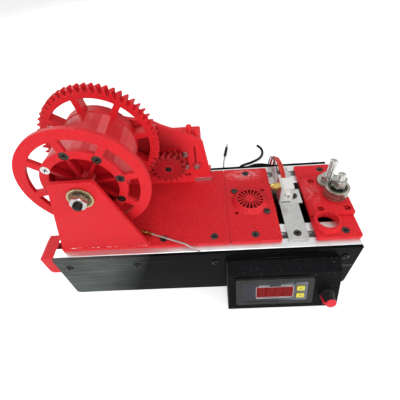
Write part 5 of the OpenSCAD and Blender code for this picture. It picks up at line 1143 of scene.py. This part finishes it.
class EXTRUDER_OT_filament(bpy.types.Operator):
    """Lay the loose end of filament from the brass guide over the front rail"""
    bl_idname = "extruder.filament"
    bl_label = "Filament end"

    def execute(self, context):
        piece = add_tube("filament_strand", smooth_path(FILAMENT_ROUTE), sizes().filament_width / 2,
                         16, "filament", FRAME_BODY)
        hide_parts("filament_end")
        return {"FINISHED"}


class EXTRUDER_OT_spool_axle(bpy.types.Operator):
    """Cut the threads on the spool's axle, chamfer its nuts and press in the bearing shields"""
    bl_idname = "extruder.spool_axle"
    bl_label = "Spool axle"

    def execute(self, context):
        flats, height = BIG_NUT
        bm = bmesh.new()
        for end, thread_from, forward in zip(AXLE_ENDS, AXLE_THREADS_FROM, (True, False)):
            threaded_rod(bm, along_axle(0, forward), abs(end), AXLE_CROWN, thread_from)
        piece = add_piece(bm, "threaded_axle", "black_thread", "spool")
        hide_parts("axle")
        bm = bmesh.new()
        front, rear = AXLE_NUT_FACES
        hex_nut(bm, along_axle(front + height, True), flats, height)
        hex_nut(bm, along_axle(rear, False), flats, height)
        piece = add_piece(bm, "chamfered_axle_nuts", "zinc", "spool")
        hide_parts("axle_nuts")
        bm = bmesh.new()
        for y, forward in zip(BEARING_FACES, (True, False)):
            spin_profile(bm, along_axle(y, forward), SHIELD_OUTLINE, 64)
        add_piece(bm, "bearing_shields", "shield_plate", FRAME_BODY)
        return {"FINISHED"}


class EXTRUDER_OT_cutter_studs(bpy.types.Operator):
    """Cut the threads of the cutter's two tall bolts and chamfer their nuts and heads"""
    bl_idname = "extruder.cutter_studs"
    bl_label = "Cutter studs"

    def execute(self, context):
        flats, height = BIG_NUT
        bm = bmesh.new()
        for post, thread_from in zip((REAR_POST, FRONT_POST), POST_THREADS_FROM):
            threaded_rod(bm, at(*post, POST_FOOT), POST_TOP - POST_FOOT, POST_CROWN, thread_from)
            hex_nut(bm, at(*post, BOLT_HEAD_FOOT), flats, BOLT_HEAD_HEIGHT)
        hex_nut(bm, at(*REAR_POST, REAR_NUT_FOOT), flats, height)
        for foot in FRONT_NUT_FEET:
            hex_nut(bm, at(*FRONT_POST, foot), flats, height)
        piece = add_piece(bm, "cutter_studs", "stud_steel", FRAME_BODY)
        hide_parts("cutter_bolts")
        return {"FINISHED"}


class EXTRUDER_OT_pinion_socket(bpy.types.Operator):
    """Lay a thin dark six-pointed star on the pinion's face, painted shade for its socket, with a rim
    round it
    """
    bl_idname = "extruder.pinion_socket"
    bl_label = "Pinion socket"

    def execute(self, context):
        place = at(*PINION_CENTRE) @ Matrix.Rotation(math.pi / 2, 4, "X")
        bm = bmesh.new()
        # painted shade: a thin dark star where the socket's hollow is
        points = bmesh.ops.create_circle(bm, cap_ends=True, segments=12,
                                         radius=SOCKET_RADIUS * MM)["verts"]
        bmesh.ops.scale(bm, vec=(SOCKET_WAIST, SOCKET_WAIST, 1), verts=points[::2])
        thicken(bm, bm.faces[:], SOCKET_RELIEF)
        move(bm, place, bm.verts)
        add_piece(bm, "pinion_socket", "dark_socket", "pinion")
        bm = bmesh.new()
        spin_profile(bm, place, SOCKET_RIM, 48)
        add_piece(bm, "pinion_socket_rim", "red_wheel", "pinion")
        return {"FINISHED"}


class EXTRUDER_OT_controller_marks(bpy.types.Operator):
    """Draw the display's rim and dark digits, the pale rules round it, the lamps and the key arrows"""
    bl_idname = "extruder.controller_marks"
    bl_label = "Controller marks"

    def execute(self, context):
        place = on_console(*CONTROLLER)
        self.add_rim(place)
        self.add_digits(place)
        self.add_rules(place)
        self.add_lamps(place)
        for body, (x, y), turn in (("upper_key", UPPER_KEY, 0.0), ("lower_key", LOWER_KEY, math.pi)):
            self.add_arrow(place @ at(x, y, KEY_TOP) @ Matrix.Rotation(turn, 4, "Z"), body)
        return {"FINISHED"}

    def add_rim(self, place):
        x, y, width, height = DISPLAY
        bm = bmesh.new()
        grid = bmesh.ops.create_grid(bm, x_segments=1, y_segments=1, size=0.5)["verts"]
        bmesh.ops.scale(bm, vec=((width + RIM_GROWTH) * MM, (height + RIM_GROWTH) * MM, 1), verts=grid)
        inner = bm.faces[:]
        bmesh.ops.inset_region(bm, faces=inner, thickness=RIM_WIDTH * MM, use_boundary=True,
                               use_even_offset=True)
        bmesh.ops.delete(bm, geom=inner, context="FACES")
        thicken(bm, bm.faces[:], RIM_RELIEF)
        move(bm, place @ at(x, y, FACE_TOP), bm.verts)
        add_piece(bm, "display_rim", "rim_ink", FRAME_BODY)

    def add_bar(self, bm, matrix, length):
        """Six-sided bar, as in a digit, its length along local X."""
        before = set(bm.verts)
        bar = bmesh.ops.create_circle(bm, cap_ends=True, segments=6, radius=0.5)["verts"]
        bmesh.ops.rotate(bm, cent=(0, 0, 0), matrix=Matrix.Rotation(math.pi / 2, 3, "Z"), verts=bar)
        bmesh.ops.scale(bm, vec=(length * MM, BAR_WIDTH * MM, 1), verts=bar)
        thicken(bm, faces_of(bar), INK_RELIEF)
        move(bm, matrix, made_since(bm, before))

    def add_digits(self, place):
        x, y, width, height = DISPLAY
        size = sizes().digit_height / MM
        half, arm = size / 2, size * 0.46
        lean = Matrix.Identity(4)
        lean[0][1] = math.tan(DIGIT_LEAN)
        spots = [(0, half, 0), (0, 0, 0), (0, -half, 0)]
        spots += [(sx * arm / 2, sy * half / 2, 1) for sx in (-1, 1) for sy in (-1, 1)]
        bm = bmesh.new()
        for n in range(DIGITS):
            middle = x + (n - (DIGITS - 1) / 2) * width * DIGIT_PITCH
            digit = place @ at(middle, y, FACE_TOP + DIGIT_LIFT) @ lean
            for bar_x, bar_y, up in spots:
                bar = digit @ at(bar_x, bar_y, 0) @ Matrix.Rotation(math.pi / 2 * up, 4, "Z")
                self.add_bar(bm, bar, (half if up else arm) * BAR_SHARE)
        add_piece(bm, "display_digits", "digit", FRAME_BODY)

    def add_rules(self, place):
        """Rows of short pale rules where the real face carries print."""
        x, y, width, height = DISPLAY
        above, below = y + height / 2 + RULES_ABOVE, y - height / 2 - RULES_BELOW
        bm = bmesh.new()
        for start, level, count, tall in ((-15.3, above, 6, 1.2), (6.9, above, 6, 1.2),
                                          (-17.6, below, 7, 1.0), (-4.4, below, 12, 1.0)):
            for i in range(count):
                rule = place @ at(start + x + RULE_PITCH * i, level, FACE_TOP)
                bevelled_block(bm, rule, RULE_LENGTHS[i % 3], tall, INK_RELIEF, 0.02)
        add_piece(bm, "face_rules", "pale_ink", FRAME_BODY)

    def add_lamps(self, place):
        bm = bmesh.new()
        for x, y in INDICATORS:
            spin_profile(bm, place @ at(x, y, FACE_TOP), INDICATOR_OUTLINE, 24)
        add_piece(bm, "face_lamps", "lamp", FRAME_BODY)

    def add_arrow(self, place, body):
        bm = bmesh.new()
        bmesh.ops.create_circle(bm, cap_ends=True, segments=3, radius=ARROW_RADIUS * MM)
        thicken(bm, bm.faces[:], ARROW_RELIEF)
        move(bm, place, bm.verts)
        add_piece(bm, body + "_arrow", "key_ink", body)


class EXTRUDER_OT_knob_marks(bpy.types.Operator):
    """Put the red cap and the red pointer on the knob"""
    bl_idname = "extruder.knob_marks"
    bl_label = "Knob marks"

    def execute(self, context):
        place = on_console(*KNOB)
        bm = bmesh.new()
        spin_profile(bm, place, KNOB_CAP, 40)
        add_piece(bm, "knob_cap", "knob_red", "knob")
        bm = bmesh.new()
        bevelled_block(bm, place @ at(*POINTER_FOOT), *POINTER, POINTER_BEVEL)
        add_piece(bm, "knob_pointer", "knob_red", "knob")
        return {"FINISHED"}


class EXTRUDER_OT_stage(bpy.types.Operator):
    """Set the floor, the soft lights, the pale world and the camera"""
    bl_idname = "extruder.stage"
    bl_label = "Stage"

    def execute(self, context):
        scene = context.scene
        scene.view_settings.view_transform = "Standard"
        self.lay_floor(scene)
        self.set_world(scene)
        self.hang_lights(scene)
        self.place_camera(scene)
        return {"FINISHED"}

    def lay_floor(self, scene):
        bm = bmesh.new()
        bmesh.ops.create_grid(bm, x_segments=2, y_segments=2, size=6.0)
        mesh = bpy.data.meshes.new("studio_floor")
        bm.to_mesh(mesh)
        bm.free()
        floor = bpy.data.objects.new("studio_floor", mesh)
        scene.collection.objects.link(floor)
        finish = Finish("Studio Floor", roughness=0.9, specular=0.1)
        finish.shader.inputs["Base Color"].default_value = (*colours().floor, 1)
        finish.shader.inputs["Emission Color"].default_value = (1, 1, 1, 1)
        finish.link(finish.times(self.seen_mask(finish.tree), FLOOR_GLOW), "Emission Strength")
        mesh.materials.append(finish.material)

    def seen_mask(self, tree):
        """One for rays from the camera, off gloss and through glass, and nothing for the light."""
        rays = add_node(tree, "LightPath", {}).outputs
        mask = math_node(tree, "MAXIMUM", rays["Is Camera Ray"], rays["Is Glossy Ray"])
        return math_node(tree, "MAXIMUM", mask, rays["Is Transmission Ray"])

    def set_world(self, scene):
        """White where it is seen, and dimmer as a light."""
        world = bpy.data.worlds.new("Pale Studio")
        scene.world = world
        world.use_nodes = True
        tree = world.node_tree
        tree.nodes.clear()
        white = (1, 1, 1, 1)
        light = add_node(tree, "Background", {"Color": white, "Strength": WORLD_LIGHT})
        seen = add_node(tree, "Background", {"Color": white, "Strength": 1.0})
        mix = add_node(tree, "MixShader", {0: self.seen_mask(tree), 1: light.outputs[0],
                                           2: seen.outputs[0]})
        add_node(tree, "OutputWorld", {"Surface": mix.outputs[0]})

    def hang_lights(self, scene):
        aim = Vector(SOFTBOX_AIM)
        for name, place, size, power in SOFTBOXES:
            data = bpy.data.lights.new(name, "AREA")
            data.shape = "SQUARE"
            data.size = size
            data.energy = power
            lamp = bpy.data.objects.new(name, data)
            scene.collection.objects.link(lamp)
            lamp.location = place
            lamp.rotation_euler = (aim - Vector(place)).to_track_quat("-Z", "Y").to_euler()

    def place_camera(self, scene):
        data = bpy.data.cameras.new("photo_view")
        data.sensor_fit = "HORIZONTAL"
        data.sensor_width = 36.0
        data.lens = CAMERA_LENS
        data.clip_start = 0.01
        data.clip_end = 50.0
        camera = bpy.data.objects.new("photo_view", data)
        scene.collection.objects.link(camera)
        camera.location = Vector(CAMERA_PLACE) * MM
        camera.rotation_euler = [math.radians(angle) for angle in CAMERA_TURN]
        scene.camera = camera


class EXTRUDER_PT_sidebar(bpy.types.Panel):
    bl_label = "Filament Extruder"
    bl_idname = "EXTRUDER_PT_sidebar"
    bl_space_type = "VIEW_3D"
    bl_region_type = "UI"
    bl_category = "Extruder"

    def draw(self, context):
        layout = self.layout
        for group in (context.scene.extruder_sizes, context.scene.extruder_colours):
            box = layout.box()
            for key in group.__annotations__:
                box.prop(group, key)
        column = layout.column()
        for operator in OPERATORS:
            column.operator(operator.bl_idname)


OPERATORS = (
    EXTRUDER_OT_finishes,
    EXTRUDER_OT_free_leads,
    EXTRUDER_OT_heater_leads,
    EXTRUDER_OT_filament,
    EXTRUDER_OT_spool_axle,
    EXTRUDER_OT_cutter_studs,
    EXTRUDER_OT_pinion_socket,
    EXTRUDER_OT_controller_marks,
    EXTRUDER_OT_knob_marks,
    EXTRUDER_OT_stage,
)
CLASSES = (ExtruderSizes, ExtruderColours) + OPERATORS + (EXTRUDER_PT_sidebar,)


def register():
    for cls in CLASSES:
        bpy.utils.register_class(cls)
    bpy.types.Scene.extruder_sizes = bpy.props.PointerProperty(type=ExtruderSizes)
    bpy.types.Scene.extruder_colours = bpy.props.PointerProperty(type=ExtruderColours)


def unregister():
    del bpy.types.Scene.extruder_colours
    del bpy.types.Scene.extruder_sizes
    for cls in reversed(CLASSES):
        bpy.utils.unregister_class(cls)


def main():
    register()
    bpy.ops.extruder.finishes()
    bpy.ops.extruder.free_leads()
    bpy.ops.extruder.heater_leads()
    bpy.ops.extruder.filament()
    bpy.ops.extruder.spool_axle()
    bpy.ops.extruder.cutter_studs()
    bpy.ops.extruder.pinion_socket()
    bpy.ops.extruder.controller_marks()
    bpy.ops.extruder.knob_marks()
    bpy.ops.extruder.stage()


if __name__ == "__main__":
    main()
